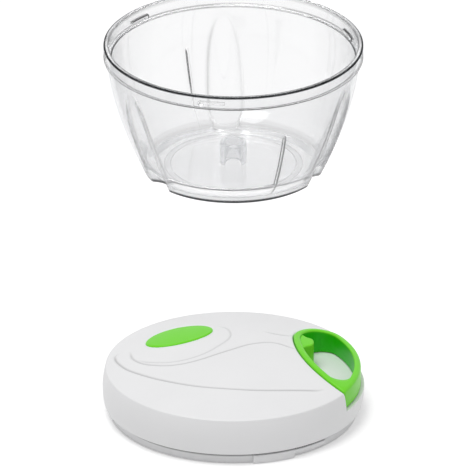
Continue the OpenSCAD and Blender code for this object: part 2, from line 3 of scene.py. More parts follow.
import bmesh
import bpy
import numpy as np
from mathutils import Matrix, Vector


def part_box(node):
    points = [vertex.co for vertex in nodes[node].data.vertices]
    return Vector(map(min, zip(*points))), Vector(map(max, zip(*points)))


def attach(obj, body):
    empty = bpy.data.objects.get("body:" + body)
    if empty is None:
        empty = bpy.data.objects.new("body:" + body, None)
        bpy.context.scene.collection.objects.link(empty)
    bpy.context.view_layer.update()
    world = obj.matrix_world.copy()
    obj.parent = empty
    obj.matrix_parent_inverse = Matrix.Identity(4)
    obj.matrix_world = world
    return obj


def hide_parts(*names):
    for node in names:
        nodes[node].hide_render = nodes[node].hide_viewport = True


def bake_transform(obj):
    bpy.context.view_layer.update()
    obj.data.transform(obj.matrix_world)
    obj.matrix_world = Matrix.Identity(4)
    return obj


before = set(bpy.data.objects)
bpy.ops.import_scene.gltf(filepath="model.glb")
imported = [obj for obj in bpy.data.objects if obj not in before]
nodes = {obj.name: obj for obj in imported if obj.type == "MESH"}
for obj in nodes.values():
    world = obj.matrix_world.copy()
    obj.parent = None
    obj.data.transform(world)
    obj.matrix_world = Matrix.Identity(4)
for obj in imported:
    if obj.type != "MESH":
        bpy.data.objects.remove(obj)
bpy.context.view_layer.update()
mm = 0.001  # all sizes below are in millimetres


def middleOf(name):  # a round node's axis, in millimetres
    low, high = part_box(name)
    return tuple(round((low[k] + high[k]) / 2 / mm, 1) for k in (0, 1))


lidAt = middleOf("rim_seal")
bladeAt = middleOf("shaft_foot")
print("frame loaded:", len(nodes), "nodes")


class Sizes(dict):  # a dictionary whose entries also read as plain names
    __getattr__ = dict.__getitem__


# shader nodes

class Wire:  # a socket that takes part in plain arithmetic
    def __init__(self, finish, socket):
        self.finish = finish
        self.socket = socket

    def __add__(self, other):
        return self.finish.maths("ADD", self, other)

    def __radd__(self, other):
        return self.finish.maths("ADD", other, self)

    def __sub__(self, other):
        return self.finish.maths("SUBTRACT", self, other)

    def __rsub__(self, other):
        return self.finish.maths("SUBTRACT", other, self)

    def __mul__(self, other):
        return self.finish.maths("MULTIPLY", self, other)

    def __rmul__(self, other):
        return self.finish.maths("MULTIPLY", other, self)


class Finish:  # one material and the tools to fill it
    def __init__(self, name):
        self.material = bpy.data.materials.new(name)
        self.material.use_nodes = True
        self.tree = self.material.node_tree
        self.shader = self.tree.nodes["Principled BSDF"]
        self.output = self.tree.nodes["Material Output"]
        self.place = self.node("ShaderNodeTexCoord", out="Object")

    def feed(self, slot, value):
        if isinstance(value, Wire):
            self.tree.links.new(value.socket, slot)
        else:
            slot.default_value = value

    def node(self, kind, settings=None, inputs=None, out=0):
        made = self.tree.nodes.new(kind)
        for key, value in (settings or {}).items():
            setattr(made, key, value)
        for key, value in (inputs or {}).items():
            self.feed(made.inputs[key], value)
        return Wire(self, made.outputs[out])

    def maths(self, kind, first, second=0.5):
        return self.node("ShaderNodeMath", {"operation": kind}, {0: first, 1: second})

    def attribute(self, name):
        return self.node("ShaderNodeAttribute", {"attribute_name": name}, out="Fac")

    def noise(self, scale, detail=2.0, vector=None):
        spread = {"Vector": vector or self.place, "Scale": scale, "Detail": detail, "Roughness": 0.5}
        return self.node("ShaderNodeTexNoise", None, spread, out="Fac")

    def blend(self, factor, low, high):
        picks = {0: factor, 6: low, 7: high}
        return self.node("ShaderNodeMix", {"data_type": "RGBA"}, picks, out=2)

    def mixed(self, factor, first, second):  # two shaders
        return self.node("ShaderNodeMixShader", None, {0: factor, 1: first, 2: second})

    def bump(self, height, depth, strength):
        lift = {"Strength": strength, "Distance": depth, "Height": height}
        return self.node("ShaderNodeBump", None, lift)

    def surface(self):  # the main shader's own output
        return Wire(self, self.shader.outputs[0])

    def set(self, **values):
        for key, value in values.items():
            self.feed(self.shader.inputs[key.replace("_", " ")], value)
        return self


class Sky(Finish):  # the same tools for the world
    def __init__(self, studio):
        self.tree = studio.node_tree
        self.shader = self.tree.nodes["Background"]
        self.shader.inputs[0].default_value = (1, 1, 1, 1)


def screen(red, green, blue):  # a colour as it shows on screen, 0 to 255
    levels = [c / 255 for c in (red, green, blue)]
    return tuple(c / 12.92 if c < 0.04045 else ((c + 0.055) / 1.055) ** 2.4 for c in levels) + (1.0,)


def shade(colour, factor):
    return tuple(c * factor for c in colour[:3]) + (1.0,)


plastic = Sizes(mottle=45, mottleDetail=3, grainDetail=2, lighter=0.4, mottleRough=0.06,
    grainRough=0.05, bump=0.6, ior=1.5)


def plasticFinish(name, colour, rough, grain=2600, depth=0.000012, tone=0.03, gloss=0.5, mark=None):
    p = plastic
    made = Finish(name)
    made.shader.inputs["Specular IOR Level"].default_value = gloss
    mottle = made.noise(p.mottle, p.mottleDetail)
    fine = made.noise(grain, p.grainDetail)
    plain = made.blend(mottle, shade(colour, 1 - tone), shade(colour, 1 + tone * p.lighter))
    if mark:  # another colour where the mesh asks for it, used for painted shade in the lid's grooves and the handle's hole
        attribute, strength, other = mark
        plain = made.blend(made.attribute(attribute) * strength, plain, other)
    made.set(Base_Color=plain, IOR=p.ior, Normal=made.bump(fine, depth, p.bump))
    made.set(Roughness=rough - p.grainRough + mottle * p.mottleRough + fine * p.grainRough)
    return made.material


print("finishes start")
coverWhite = screen(238, 238, 239)
# painted shade: the cover turns this dark grey where grooveShade says, in its grooves and in the gap under
# its edge
coverPlastic = plasticFinish("coverPlastic", coverWhite, 0.42,
    mark=("grooveShade", 0.62, shade(coverWhite, 0.35)))
whitePlastic = plasticFinish("whitePlastic", screen(236, 236, 237), 0.42)
# painted shade: a deeper green on the inside wall of the handle's hole, where holeShade says
greenPlastic = plasticFinish("greenPlastic", (0.175, 0.72, 0.022, 1), 0.36, gloss=0.25,
    mark=("holeShade", 1.0, (0.02, 0.5, 0.004, 1)))
greyPlastic = plasticFinish("greyPlastic", screen(160, 163, 168), 0.45)
greyRubber = plasticFinish("greyRubber", screen(96, 98, 101), 0.7, 1400, 0.00003, 0.1)

metal = Sizes(brush=700, brushDetail=3, along=(1, 14, 14), haze=60, hazeDetail=2, hazeTone=0.86,
    groundTone=1.7, brushRough=0.14, hazeRough=0.05, groundRough=0.1, depth=0.000006, bump=0.5)


def steelFinish(name, colour, rough):  # brushed, and brighter where a blade is ground
    m = metal
    made = Finish(name)
    ground = made.attribute("ground")
    stretched = made.node("ShaderNodeMapping", None, {"Vector": made.place, "Scale": m.along})
    brush = made.noise(m.brush, m.brushDetail, stretched)
    haze = made.noise(m.haze, m.hazeDetail)
    plain = made.blend(haze, shade(colour, m.hazeTone), colour)
    made.set(Base_Color=made.blend(ground, plain, shade(colour, m.groundTone)), Metallic=1.0)
    made.set(Roughness=rough + brush * m.brushRough + haze * m.hazeRough - ground * m.groundRough)
    made.set(Normal=made.bump(brush, m.depth, m.bump))
    return made.material


brushedSteel = steelFinish("brushedSteel", (0.4, 0.405, 0.42, 1), 0.26)
bushBronze = steelFinish("bushBronze", (0.55, 0.38, 0.2, 1), 0.3)

braid = Sizes(scale=5200, low=screen(196, 196, 192), high=screen(238, 238, 234), fuzz=4000,
    fuzzDetail=2, rough=0.7, fuzzRough=0.15, depth=0.00012, bump=0.8)


def cordFinish():
    made = Finish("braidedCord")
    along = made.node("ShaderNodeSeparateXYZ", None, {0: made.place})
    across = Wire(made, along.socket.node.outputs[1]) * braid.scale
    along = along * braid.scale
    weave = made.maths("SINE", along + across) * made.maths("SINE", along - across) * 0.5 + 0.5
    fuzz = made.noise(braid.fuzz, braid.fuzzDetail)
    made.set(Base_Color=made.blend(weave, braid.low, braid.high))
    made.set(Roughness=braid.rough + fuzz * braid.fuzzRough)
    made.set(Normal=made.bump(weave, braid.depth, braid.bump))
    return made.material


braidedCord = cordFinish()

# dark is the colour of the painted shade along the bowl's edge lines; drawn sets how strongly it is mixed in
# there
clearBowl = Sizes(
    tint=(0.905, 0.907, 0.912, 1), soft=(0.6, 0.61, 0.62, 1), dark=(0.02, 0.022, 0.025, 1),
    edge=(0.87, 0.873, 0.88, 1), wallEdge=0.25, drawn=0.8, facing=0.5, ior=1.5, depth=4.5,
    haze=38, hazeDetail=3, hazeTone=0.97, scuff=900, scuffDetail=3, rough=0.01, scuffRough=0.02,
    wave=55, waveDetail=2, waveDepth=0.00012, waveBump=0.35,
)


def clearFinish(clear):  # clear walls with a faint tint, and painted shade: fine dark lines along edges and ribs in place of the dark refraction at the plastic's edges
    made = Finish("clearPlastic")
    made.shader.inputs["Transmission Weight"].default_value = 1.0
    line = made.attribute("paintedEdgeShade")
    facing = made.node("ShaderNodeLayerWeight", None, {"Blend": clear.facing}, out="Facing")
    edgeOn = facing * facing * facing
    haze = made.noise(clear.haze, clear.hazeDetail)
    tint = made.blend(haze, clear.tint, shade(clear.tint, clear.hazeTone))
    tint = made.blend(edgeOn * clear.wallEdge, tint, clear.soft)
    scuff = made.noise(clear.scuff, clear.scuffDetail)
    wave = made.noise(clear.wave, clear.waveDetail)
    # painted shade: the base colour turns dark along the painted edge lines
    made.set(Base_Color=made.blend(line, tint, clear.dark), IOR=clear.ior)
    made.set(Roughness=clear.rough + scuff * clear.scuffRough)
    made.set(Normal=made.bump(wave, clear.waveDepth, clear.waveBump))
    # painted shade: a near-black see-through shader, mixed in along the painted edge lines
    paintedEdgeDark = made.node("ShaderNodeBsdfTransparent", None, {"Color": clear.dark})
    through = made.node("ShaderNodeBsdfTransparent", None, {"Color": clear.edge})
    trapped = made.maths("GREATER_THAN", made.node("ShaderNodeLightPath", out="Ray Depth"), clear.depth)
    thin = made.maths("MAXIMUM", trapped, edgeOn * (1 - line))
    drawn = made.mixed(line * clear.drawn, made.surface(), paintedEdgeDark)
    made.feed(made.output.inputs[0], made.mixed(thin, drawn, through))
    return made.material


clearPlastic = clearFinish(clearBowl)
print("finishes done")


# meshes

def smooth(made, sharp):
    made.data.polygons.foreach_set("use_smooth", [True] * len(made.data.polygons))
    made.data.set_sharp_from_angle(angle=math.radians(sharp))
    made.data.update()


def piece(name, points, faces, finish, at=(0.0, 0.0), sharp=38):
    mesh = bpy.data.meshes.new(name)
    placed = (np.asarray(points, float) + (at[0], at[1], 0.0)) * mm
    mesh.from_pydata(placed.tolist(), [], faces)
    mesh.update()
    made = bpy.data.objects.new(name, mesh)
    bpy.context.scene.collection.objects.link(made)
    smooth(made, sharp)
    made.data.materials.append(finish)
    return made


def solid(name, points, faces, finish, at=(0.0, 0.0), sharp=38):  # a piece with all its faces turned outwards
    made = piece(name, points, faces, finish, at, sharp)
    work = bmesh.new()
    work.from_mesh(made.data)
    bmesh.ops.recalc_face_normals(work, faces=work.faces)
    work.to_mesh(made.data)
    work.free()
    return made


def paint(made, name, amounts):  # a value for each point, which the finish reads
    made.data.attributes.new(name, "FLOAT", "POINT")
    made.data.attributes[name].data.foreach_set("value", np.asarray(amounts, np.float32))


def gridFaces(rows, cols, wrapRows=False):
    i, j = np.meshgrid(np.arange(rows if wrapRows else rows - 1), np.arange(cols), indexing="ij")
    i2 = (i + 1) % rows
    j2 = (j + 1) % cols
    return np.stack([i * cols + j, i * cols + j2, i2 * cols + j2, i2 * cols + j], -1).reshape(-1, 4).tolist()


def tubeFaces(rows, cols):  # a grid with its first and last row capped
    return gridFaces(rows, cols) + [tuple(range(cols))[::-1], tuple(range((rows - 1) * cols, rows * cols))]


def revolve(profile, count, capped=False):
    profile = np.asarray(profile, float)
    angles = np.arange(count) * 2 * math.pi / count
    r = profile[:, 0][:, None]
    z = np.repeat(profile[:, 1][:, None], count, 1)
    points = np.stack([r * np.cos(angles), r * np.sin(angles), z], -1).reshape(-1, 3)
    return points, tubeFaces(len(profile), count) if capped else gridFaces(len(profile), count, True)


def ring(name, profile, count, finish, at, sharp=38):  # a closed profile turned round an axis
    return solid(name, *revolve(profile, count), finish, at, sharp)


def spool(name, profile, count, finish, at):  # a solid of revolution that closes on its own axis
    return solid(name, *revolve(profile, count, True), finish, at)


def prism(name, loop, low, high, finish, at):
    points = [(x, y, z) for z in (low, high) for x, y in loop]
    return solid(name, points, tubeFaces(2, len(loop)), finish, at)


def level(loop, z):  # a flat loop lifted to a height
    return np.column_stack([loop, np.full(len(loop), z)])


def rounded(corners, radii, steps=5):  # a profile with its corners rounded
    result = []
    count = len(corners)
    for k in range(count):
        here = np.array(corners[k], float)
        before = np.array(corners[k - 1], float) - here
        after = np.array(corners[(k + 1) % count], float) - here
        size = radii[k] if hasattr(radii, "__len__") else radii
        size = min(size, np.linalg.norm(before) * 0.45, np.linalg.norm(after) * 0.45)
        if size < 1e-6:
            result.append(tuple(here))
            continue
        one = here + before / np.linalg.norm(before) * size
        two = here + after / np.linalg.norm(after) * size
        for t in np.linspace(0, 1, steps + 1):
            result.append(tuple((1 - t) ** 2 * one + 2 * t * (1 - t) * here + t * t * two))
    return result


sliver = 0.004  # faces thinner than this are taken out after a cut


def cutBy(made, cutters, kind="DIFFERENCE"):
    for cutter in cutters:
        tool = made.modifiers.new("cut", "BOOLEAN")
        tool.operation = kind
        tool.solver = "EXACT"
        tool.object = cutter
        with bpy.context.temp_override(object=made, active_object=made, selected_objects=[made]):
            bpy.ops.object.modifier_apply(modifier=tool.name)
    for cutter in cutters:
        bpy.data.objects.remove(cutter)
    work = bmesh.new()
    work.from_mesh(made.data)
    bmesh.ops.remove_doubles(work, verts=work.verts, dist=sliver * mm)
    bmesh.ops.dissolve_degenerate(work, edges=work.edges, dist=sliver * mm)
    work.to_mesh(made.data)
    work.free()


def settle(made, body, stands):
    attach(made, body)
    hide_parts(stands)


def curve(points, count=24):  # a smooth line through the points
    p = np.asarray(points, float)
    p = np.vstack([2 * p[0] - p[1], p, 2 * p[-1] - p[-2]])
    out = []
    for k in range(1, len(p) - 2):
        for t in np.linspace(0, 1, count, endpoint=False):
            out.append(0.5 * (2 * p[k] + (p[k + 1] - p[k - 1]) * t
                + (2 * p[k - 1] - 5 * p[k] + 4 * p[k + 1] - p[k + 2]) * t ** 2
                + (3 * p[k] - p[k - 1] - 3 * p[k + 1] + p[k + 2]) * t ** 3))
    out.append(p[-2])
    return np.array(out)


def sweep(path, radius, sides, closed=False):  # points and faces of a round tube along a path
    path = np.asarray(path, float)
    ahead = np.roll(path, -1, 0) - np.roll(path, 1, 0)
    if not closed:
        ahead[0], ahead[-1] = path[1] - path[0], path[-1] - path[-2]
    ahead /= np.linalg.norm(ahead, axis=1)[:, None]
    side = np.cross(ahead[0], (0.0, 0.0, 1.0))
    turns = np.arange(sides) * 2 * math.pi / sides
    points = []
    for here, way in zip(path, ahead):
        side = side - way * (side @ way)
        side /= np.linalg.norm(side)
        up = np.cross(side, way)
        points.append(here + radius * (np.cos(turns)[:, None] * side + np.sin(turns)[:, None] * up))
    return np.vstack(points), gridFaces(len(path), sides, True) if closed else tubeFaces(len(path), sides)


def distanceTo(line, points):
    best = np.full(len(points), 1e9)
    for a, b in zip(line[:-1], line[1:]):
        d = b - a
        t = np.clip(((points - a) @ d) / (d @ d), 0, 1)
        gap = points - a - t[:, None] * d
        best = np.minimum(best, np.einsum("ij,ij->i", gap, gap))
    return np.sqrt(best)


def inside(loop, points):
    found = np.zeros(len(points), bool)
    for a, b in zip(loop, np.roll(loop, -1, 0)):
        if a[1] == b[1]:
            continue
        crosses = (a[1] > points[:, 1]) != (b[1] > points[:, 1])
        x = a[0] + (points[:, 1] - a[1]) * (b[0] - a[0]) / (b[1] - a[1])
        found ^= crosses & (points[:, 0] < x)
    return found


def polar(centre, radius, degrees):
    a = math.radians(degrees)
    return (centre[0] + radius * math.cos(a), centre[1] + radius * math.sin(a))


# bowl

bowl = Sizes(
    height=66, rimR=63.8, bandH=7, bandT=2.6, wallTopR=62, baseR=44, wallT=2.2,
    wallCurve=1.6, floorT=3, floorR=35.5, cornerH=7, cornerPull=(41.2, 4.4), grooveR=31, grooveW=3,
    fluteR=9, fluteD=4.5, fluteTop=54, fluteOver=2, fluteFrom=20, fluteAngles=(335, 215, 95), fluteEdge=0.35,
    soleFrom=0.5,
    finT=1.2, finD=1.6, finH=40, finAngles=(296, 114), finSoft=0.25, finTop=1.5,
    stopAngles=(14, 134, 254), stopArc=12, stopHook=2, stopLow=61.2, stopHigh=62.4, hookDown=1,
    stopInR=59.6, stopSoft=(0.4, 0.3), postR=6.5, postHollowR=4.4, postTop=14, postSunk=0.6,
    archW=4.2, archH=4.6, archSunk=0.3, archReach=9.0, sharp=50,
)
bowlRows = Sizes(  # where the bowl's section has its points
    foot=(0.4, 8, 16, 24, 29, 30.2), flank=((0, 0.2), (0.15, 0.4), (0.3, 0.8), (0.5, 0.8)), ease=0.3,
    sole=(36, 38, 40, 42), heel=((-1.1, 0), (-0.8, 0), (-0.5, 0.05), (-0.2, 0.18), (0.05, 0.4)),
    wallLow=(0.65, 0.9), wallFrom=1.2, seam=0.5, wallCount=50,
    rimRounds=(0, 0.4, 0.5, 0.7, 0.6, 0), rimTop=(0.95, 0.8), rimSide=(0.7, 0.9),
    band=(64, 63.2, 62.7, 62.55, 62.4, 62.25, 62.1, 61.5, 61.35, 61.2, 61.05, 60.9, 60.35, 60.2, 60.05, 59.7),
    ledgeRounds=(0, 0.35, 0.35, 0), ledgeSeam=0.6, innerCount=46, cornerCount=14,
    floorOut=(35.2, 34.8), floor=(34, 9, 12),
)
bowlTurns = Sizes(  # degrees between the bowl's columns, and how far the finer ones reach
    step=1.0, flute=(-15, 15.1, 0.25), fin=(-1.3, 1.31, 0.1), stop=(-0.4, 0.61, 0.1),
    stopEnd=(-0.4, 0.41, 0.1),
)
lines = Sizes(  # how dark the painted shade shows on each kind of edge, 0 to 1
    rimOut=1.0, rimIn=0.5, band=0.8, ledge=0.9, base=1.0, foot=0.1, footFrom=(0.5, 4),
    groove=0.08, flutes=(1.0, 0.6, 0.15), fluteWide=(1.25, 0.8, 0.8), fluteFade=10, fluteBack=0.4,
    fluteIn=0.5, fluteReach=3, fluteFlat=0.25,
    fin=0.75, finFrom=(-10, 14), finFade=10, finWide=0.22, finTall=0.3,
    stop=(0.95, 0.95, 0.25), stopLine=0.3, stopOver=0.03, stopFade=0.15, hook=0.8,
    post=0.8, postFrom=0.75, arch=0.7,
    # back, fadeFrom, plainBack, plainFrom and fadeOver fade the painted edge shade towards the back of the
    # bowl, as the light falls
    back={"base": 0.2}, fadeFrom={"base": 0.5, "band": 0.3}, plainBack=0.4, plainFrom=0.12, fadeOver=0.3,
)
far = 999.0  # where no flute cuts the wall
bandZ = bowl.height - bowl.bandH
boreR = bowl.rimR - bowl.bandT
grooveOut = bowl.grooveR + bowl.grooveW


def bowlWallR(z):
    drop = bowl.wallTopR - bowl.baseR
    return bowl.wallTopR - drop * np.clip(1 - z / bandZ, 0, 1) ** bowl.wallCurve


def offFrom(turns, angle):  # degrees from an angle, -180 to 180
    return (turns - angle + 180) % 360 - 180


def fluteSurface(z, turn, radius):
    axisR = bowl.baseR - bowl.fluteD + bowl.fluteR
    topR = bowlWallR(bowl.fluteTop) + bowl.fluteR
    reach = axisR + (topR - axisR) * z / bowl.fluteTop
    best = np.full(np.broadcast(z, turn).shape, far)
    for angle in bowl.fluteAngles:
        off = np.radians(offFrom(turn, angle))
        side = reach * np.sin(off)
        hit = (np.abs(side) < radius) & (np.abs(off) < 1)
        near = reach * np.cos(off) - np.sqrt(np.maximum(radius ** 2 - side ** 2, 0))
        best = np.where(hit, np.minimum(best, near), best)
    return best


def softMin(a, b, edge):
    low = np.minimum(a, b)
    near = np.minimum(b, low + 40 * edge)  # keeps the powers within range
    return low - edge * np.log(np.exp(-(a - low) / edge) + np.exp(-(near - low) / edge))


def bump01(value, low, high, edge):
    return np.clip((value - low) / edge + 0.5, 0, 1) * np.clip((high - value) / edge + 0.5, 0, 1)


def bowlSection():  # the points from the foot's middle round to the floor's, and the rows that get a painted shade line
    b, rows = bowl, bowlRows
    innerR = b.wallTopR - b.wallT
    foot = [(r, 0) for r in rows.foot] + [(b.grooveR - rows.ease, 0)]
    foot += [(b.grooveR + run, z) for run, z in rows.flank]
    foot += [(grooveOut - run, z) for run, z in rows.flank[::-1]]
    foot += [(grooveOut + rows.ease, 0), (grooveOut + 2 * rows.ease, 0)]
    foot += [(r, 0) for r in rows.sole] + [(b.baseR + run, z) for run, z in rows.heel]
    levels = [*rows.wallLow, *np.linspace(rows.wallFrom, bandZ - rows.seam, rows.wallCount)]
    outer = [(float(bowlWallR(z)), float(z)) for z in levels]
    steps = 4
    rim = rounded([(b.wallTopR, bandZ - rows.seam), (b.wallTopR, bandZ), (b.rimR, bandZ),
        (b.rimR, b.height), (boreR, b.height), (boreR, rows.band[0])], rows.rimRounds, steps)[1:-1]
    top, side = 3 * (steps + 1), 2 * (steps + 1)  # where the rim's flats begin
    rim[top:top] = [(b.rimR - rows.rimTop[0], b.height), (boreR + rows.rimTop[1], b.height)]
    rim[side:side] = [(b.rimR, bandZ + rows.rimSide[0]), (b.rimR, b.height - rows.rimSide[1])]
    band = [(boreR, z) for z in rows.band]
    ledge = rounded([(boreR, bandZ + rows.ledgeSeam), (boreR, bandZ), (innerR, bandZ),
        (innerR, bandZ - rows.ledgeSeam)], rows.ledgeRounds, 3)[1:-1]
    levels = np.linspace(bandZ - rows.ledgeSeam, b.floorT + b.cornerH, rows.innerCount)
    inner = [(float(bowlWallR(z)) - b.wallT, float(z)) for z in levels]
    start, pull, end = (np.array(p) for p in (inner[-1], b.cornerPull, (b.floorR, b.floorT)))
    corner = [tuple((1 - t) ** 2 * start + 2 * t * (1 - t) * pull + t * t * end)
        for t in np.linspace(0, 1, rows.cornerCount)[1:]]
    floor = [(r, b.floorT) for r in (*rows.floorOut, *np.linspace(*rows.floor), rows.foot[0])]
    bandFrom = len(foot) + len(outer)
    innerFrom = bandFrom + len(rim)
    ledgeFrom = innerFrom + len(band)  # below: the name of a painted shade line, its first row and how many rows it takes
    drawn = (("base", len(foot) - 3, 6), ("band", bandFrom + 5, 5), ("rimOut", bandFrom + 12, 5),
        ("rimIn", bandFrom + 19, 5), ("ledge", ledgeFrom + 4, 4), ("groove", 7, 3), ("groove", 13, 3))
    return np.array(foot + outer + rim + band + ledge + inner + corner + floor), len(foot), innerFrom, drawn


def bowlColumns():
    b, t = bowl, bowlTurns
    turns = [np.arange(0, 360, t.step)]
    turns += [angle + np.arange(*t.flute) for angle in b.fluteAngles]
    turns += [angle + np.arange(*t.fin) for angle in b.finAngles]
    low, over, step = t.stop
    turns += [angle + np.arange(low, b.stopHook + over, step) for angle in b.stopAngles]
    turns += [angle + b.stopArc + np.arange(*t.stopEnd) for angle in b.stopAngles]
    return np.unique(np.round(np.mod(np.concatenate(turns), 360), 3))


def fluteLines(plainR, z, turns, cut, isInner):
    gap = plainR - cut
    slope = np.abs(np.gradient(gap, axis=1)) / (np.gradient(np.radians(turns)) * plainR)
    nearest = np.abs(offFrom(turns[:, None], np.array(bowl.fluteAngles))).argmin(1)
    away = np.abs(gap) / np.maximum(slope, lines.fluteFlat) / np.array(lines.fluteWide)[nearest]
    runOut = np.clip((bowl.fluteTop - z) / lines.fluteFade, 0, 1)
    line = np.where(isInner, lines.fluteIn, 1) * runOut * np.exp(-away ** 2)
    line = np.where(np.abs(gap) < lines.fluteReach, line, 0)
    # the painted shade is weaker on the side of each flute that faces away from the front
    fromFront = np.abs((turns - 90) % 360 - 180)
    middles = [np.abs(turns - angle).argmin() for angle in bowl.fluteAngles]
    facing = fromFront < fromFront[middles][nearest]
    return line * np.array(lines.flutes)[nearest] * np.where(facing, 1, lines.fluteBack)


def makeBowl():
    b = bowl
    section, footTo, innerFrom, drawn = bowlSection()
    turns = bowlColumns()
    order = np.arange(len(section))[:, None]
    plainR, z = section[:, :1], section[:, 1:]
    isInner = order >= innerFrom
    cut = np.where(isInner, fluteSurface(z, turns[None], b.fluteR + b.wallT),
        fluteSurface(z, turns[None], b.fluteR))
    cut = np.where(z > b.fluteTop + b.fluteOver, far, cut)
    r = np.repeat(plainR, len(turns), 1)
    r = np.where(r > b.fluteFrom, softMin(r, cut, b.fluteEdge), r)
    under = (order < footTo) & (plainR > grooveOut + b.soleFrom)
    share = (plainR - grooveOut) / (plainR[footTo - 1] - grooveOut)
    r = np.where(under, grooveOut + (r[footTo - 1] - grooveOut) * share, r)
    # painted shade: dark edge lines on the flutes, the foot, the listed rows, the fins and the stops
    line = fluteLines(plainR, z, turns, cut, isInner)
    low, high = lines.footFrom
    line = np.maximum(line, lines.foot * (~isInner & (z > low) & (z < high)))
    front = 0.5 - 0.5 * np.sin(np.radians(turns))  # 1 at the front, 0 at the back; the painted edge shade fades towards the back as the light falls
    for name, start, count in drawn:
        back = lines.back.get(name, lines.plainBack)
        begin = lines.fadeFrom.get(name, lines.plainFrom)
        fade = back + (1 - back) * np.clip((front - begin) / lines.fadeOver, 0, 1)
        line[start:start + count] = np.maximum(line[start:start + count], lines[name] * fade)
    onWall, onBand = isInner & (z < bandZ), isInner & (z > bandZ)
    for angle, low in zip(b.finAngles, lines.finFrom):
        off = np.abs(np.radians(offFrom(turns[None], angle)) * r)
        width = np.clip((b.finT / 2 - off) / b.finSoft + 0.5, 0, 1)
        tall = np.clip((b.finH - z) / b.finTop, 0, 1) ** 0.5 * np.clip(z - b.floorT, 0, 1)
        r = np.where(onWall, r - b.finD * width * tall, r)
        # painted shade along each fin's edges
        near = np.exp(-((off - b.finT / 2) / lines.finWide) ** 2) * (tall > lines.finTall)
        near = near * np.clip((z - low) / lines.finFade, 0, 1)
        line = np.where(onWall, np.maximum(line, lines.fin * near), line)
    wide, high = b.stopSoft
    for angle, dark in zip(b.stopAngles, lines.stop):
        off = offFrom(turns[None], angle)
        along = bump01(off, 0, b.stopArc, wide)
        rib = along * bump01(z, b.stopLow, b.stopHigh, high)
        hook = bump01(off, 0, b.stopHook, wide) * bump01(z, b.stopLow - b.hookDown, b.stopHigh, high)
        r = np.where(onBand, r - (boreR - b.stopInR) * np.maximum(rib, hook), r)
        # painted shade along each stop's top edge and hook
        edge = bump01(z, b.stopHigh - lines.stopLine, b.stopHigh + lines.stopOver, lines.stopFade)
        mark = np.maximum(along * edge, hook * bump01(off, 0, lines.hook, high))
        line = np.where(onBand, np.maximum(line, dark * mark), line)
    a = np.radians(turns)[None]
    points = np.stack([r * np.cos(a), r * np.sin(a), np.repeat(z, len(turns), 1)], -1).reshape(-1, 3)
    made = piece("clearBowl", points, tubeFaces(*r.shape), clearPlastic, sharp=b.sharp)
    paint(made, "paintedEdgeShade", line.ravel())
    cutBy(made, [makePost()], "UNION")
    smooth(made, b.sharp)
    made.visible_shadow = False  # light falls through the clear walls
    made.visible_diffuse = False
    settle(made, "bowl", "bowl")


def makePost():
    b = bowl
    low, sides = b.floorT - b.postSunk, 128
    profile = rounded([(b.postR, low), (b.postR, b.postTop), (b.postHollowR, b.postTop),
        (b.postHollowR, low)], [0, 0.7, 0.5, 0], 4)
    post = piece("post", *revolve(profile, sides), clearPlastic)
    # painted shade: dark lines on the post's top rounding and over the arch's tunnel
    darkFrom = b.postTop - lines.postFrom
    paint(post, "paintedEdgeShade", np.repeat([lines.post if z > darkFrom else 0 for r, z in profile], sides))
    w, h, reach, low = b.archW, b.archH, b.archReach, b.floorT - b.archSunk
    arc = [(w * math.cos(t), b.floorT + h * math.sin(t)) for t in np.linspace(0, math.pi, 33)]
    arc = [(w, low)] + arc + [(-w, low)]
    tunnel = [(x, y, z) for y in (-reach, reach) for x, z in arc]
    arch = solid("arch", tunnel, tubeFaces(2, len(arc)), clearPlastic)
    paint(arch, "paintedEdgeShade", [lines.arch] * len(tunnel))
    cutBy(post, [arch])
    return post


print("bowl")
makeBowl()


# lid

lid = Sizes(
    height=31.2, coverR=62.8, sideBow=1.45, bowZ=13, shoulderZ=22.6, shoulderRound=0.9,
    coverT=2.2, plugH=5.6, pocketZ=14.2, gap=0.4, pocketEdge=0.9, arcEnd=75, over=60,
    lipZ=6.0, lip=((0.05, 5.85), (0.25, 5.66), (0.5, 5.6)), openR=30.0, hollowLow=4.0,
    columns=864, rings=168, middleR=0.05, firstR=0.6, arcLow=15, arcSteps=8, sideLow=0.5, sideRows=40,
    topFrom=1.2, hollowColumns=180, hollowRings=24, hollowRows=10, sharp=34,
    cordHoleR=2.1, cordHoleX=(24.0, 31.0), cordHoleSides=32,
    inlayAt=(-26, 22), inlayTurn=27, inlayA=17.3, inlayB=10.4, inlayDeep=1.15, inlayGap=0.03,
    inlayLip=0.3, inlayLipShare=24, recess=(26.4, 40), inlayLift=0.6, inlayCrown=0.25,
    inlayEdge=0.93, inlaySides=160, inlayTop=(0.02, 0.93, 26), inlayRim=(0.945, 1.0, 8), inlaySharp=50,
    # lineShade is how wide the painted shade along the grooves spreads
    lineWidth=0.6, lineDepth=0.4, lineShade=0.52, lineEnd=6, lineEndShare=0.1,
    shares={"outerLine": 1.0, "innerLine": 0.8, "upperLine": 0.8, "ovalLine": 0.5},
    outerLine=((-55.4, 10.5), (-56.8, 7), (-55, -1), (-49, -11.5), (-36, -23.5), (-19, -32.5), (-1.4, -36.3),
        (16, -36.8), (38, -33), (43, -31)),
    innerLine=((-49.6, 10), (-48.4, 2), (-45.3, -3.6), (-41, -7.6), (-33, -11), (-25, -11.2), (-16, -8),
        (-7, -2.2), (0, 2.8), (7.4, 8.2), (14.8, 11.3), (21, 11.3), (28.5, 6.9), (30.5, 5.2)),
    upperLine=((14.2, 25.7), (20.4, 23.4), (26, 22.3), (29.1, 23.6)),
    ovalLine=((-46, -1.2), (-40, -5.6), (-30, -8.2), (-21, -6.3), (-13, -0.9), (-7, 6.6), (-2.5, 14.3),
        (-1.3, 21.2), (-3, 28.5), (-7.5, 33)),
)
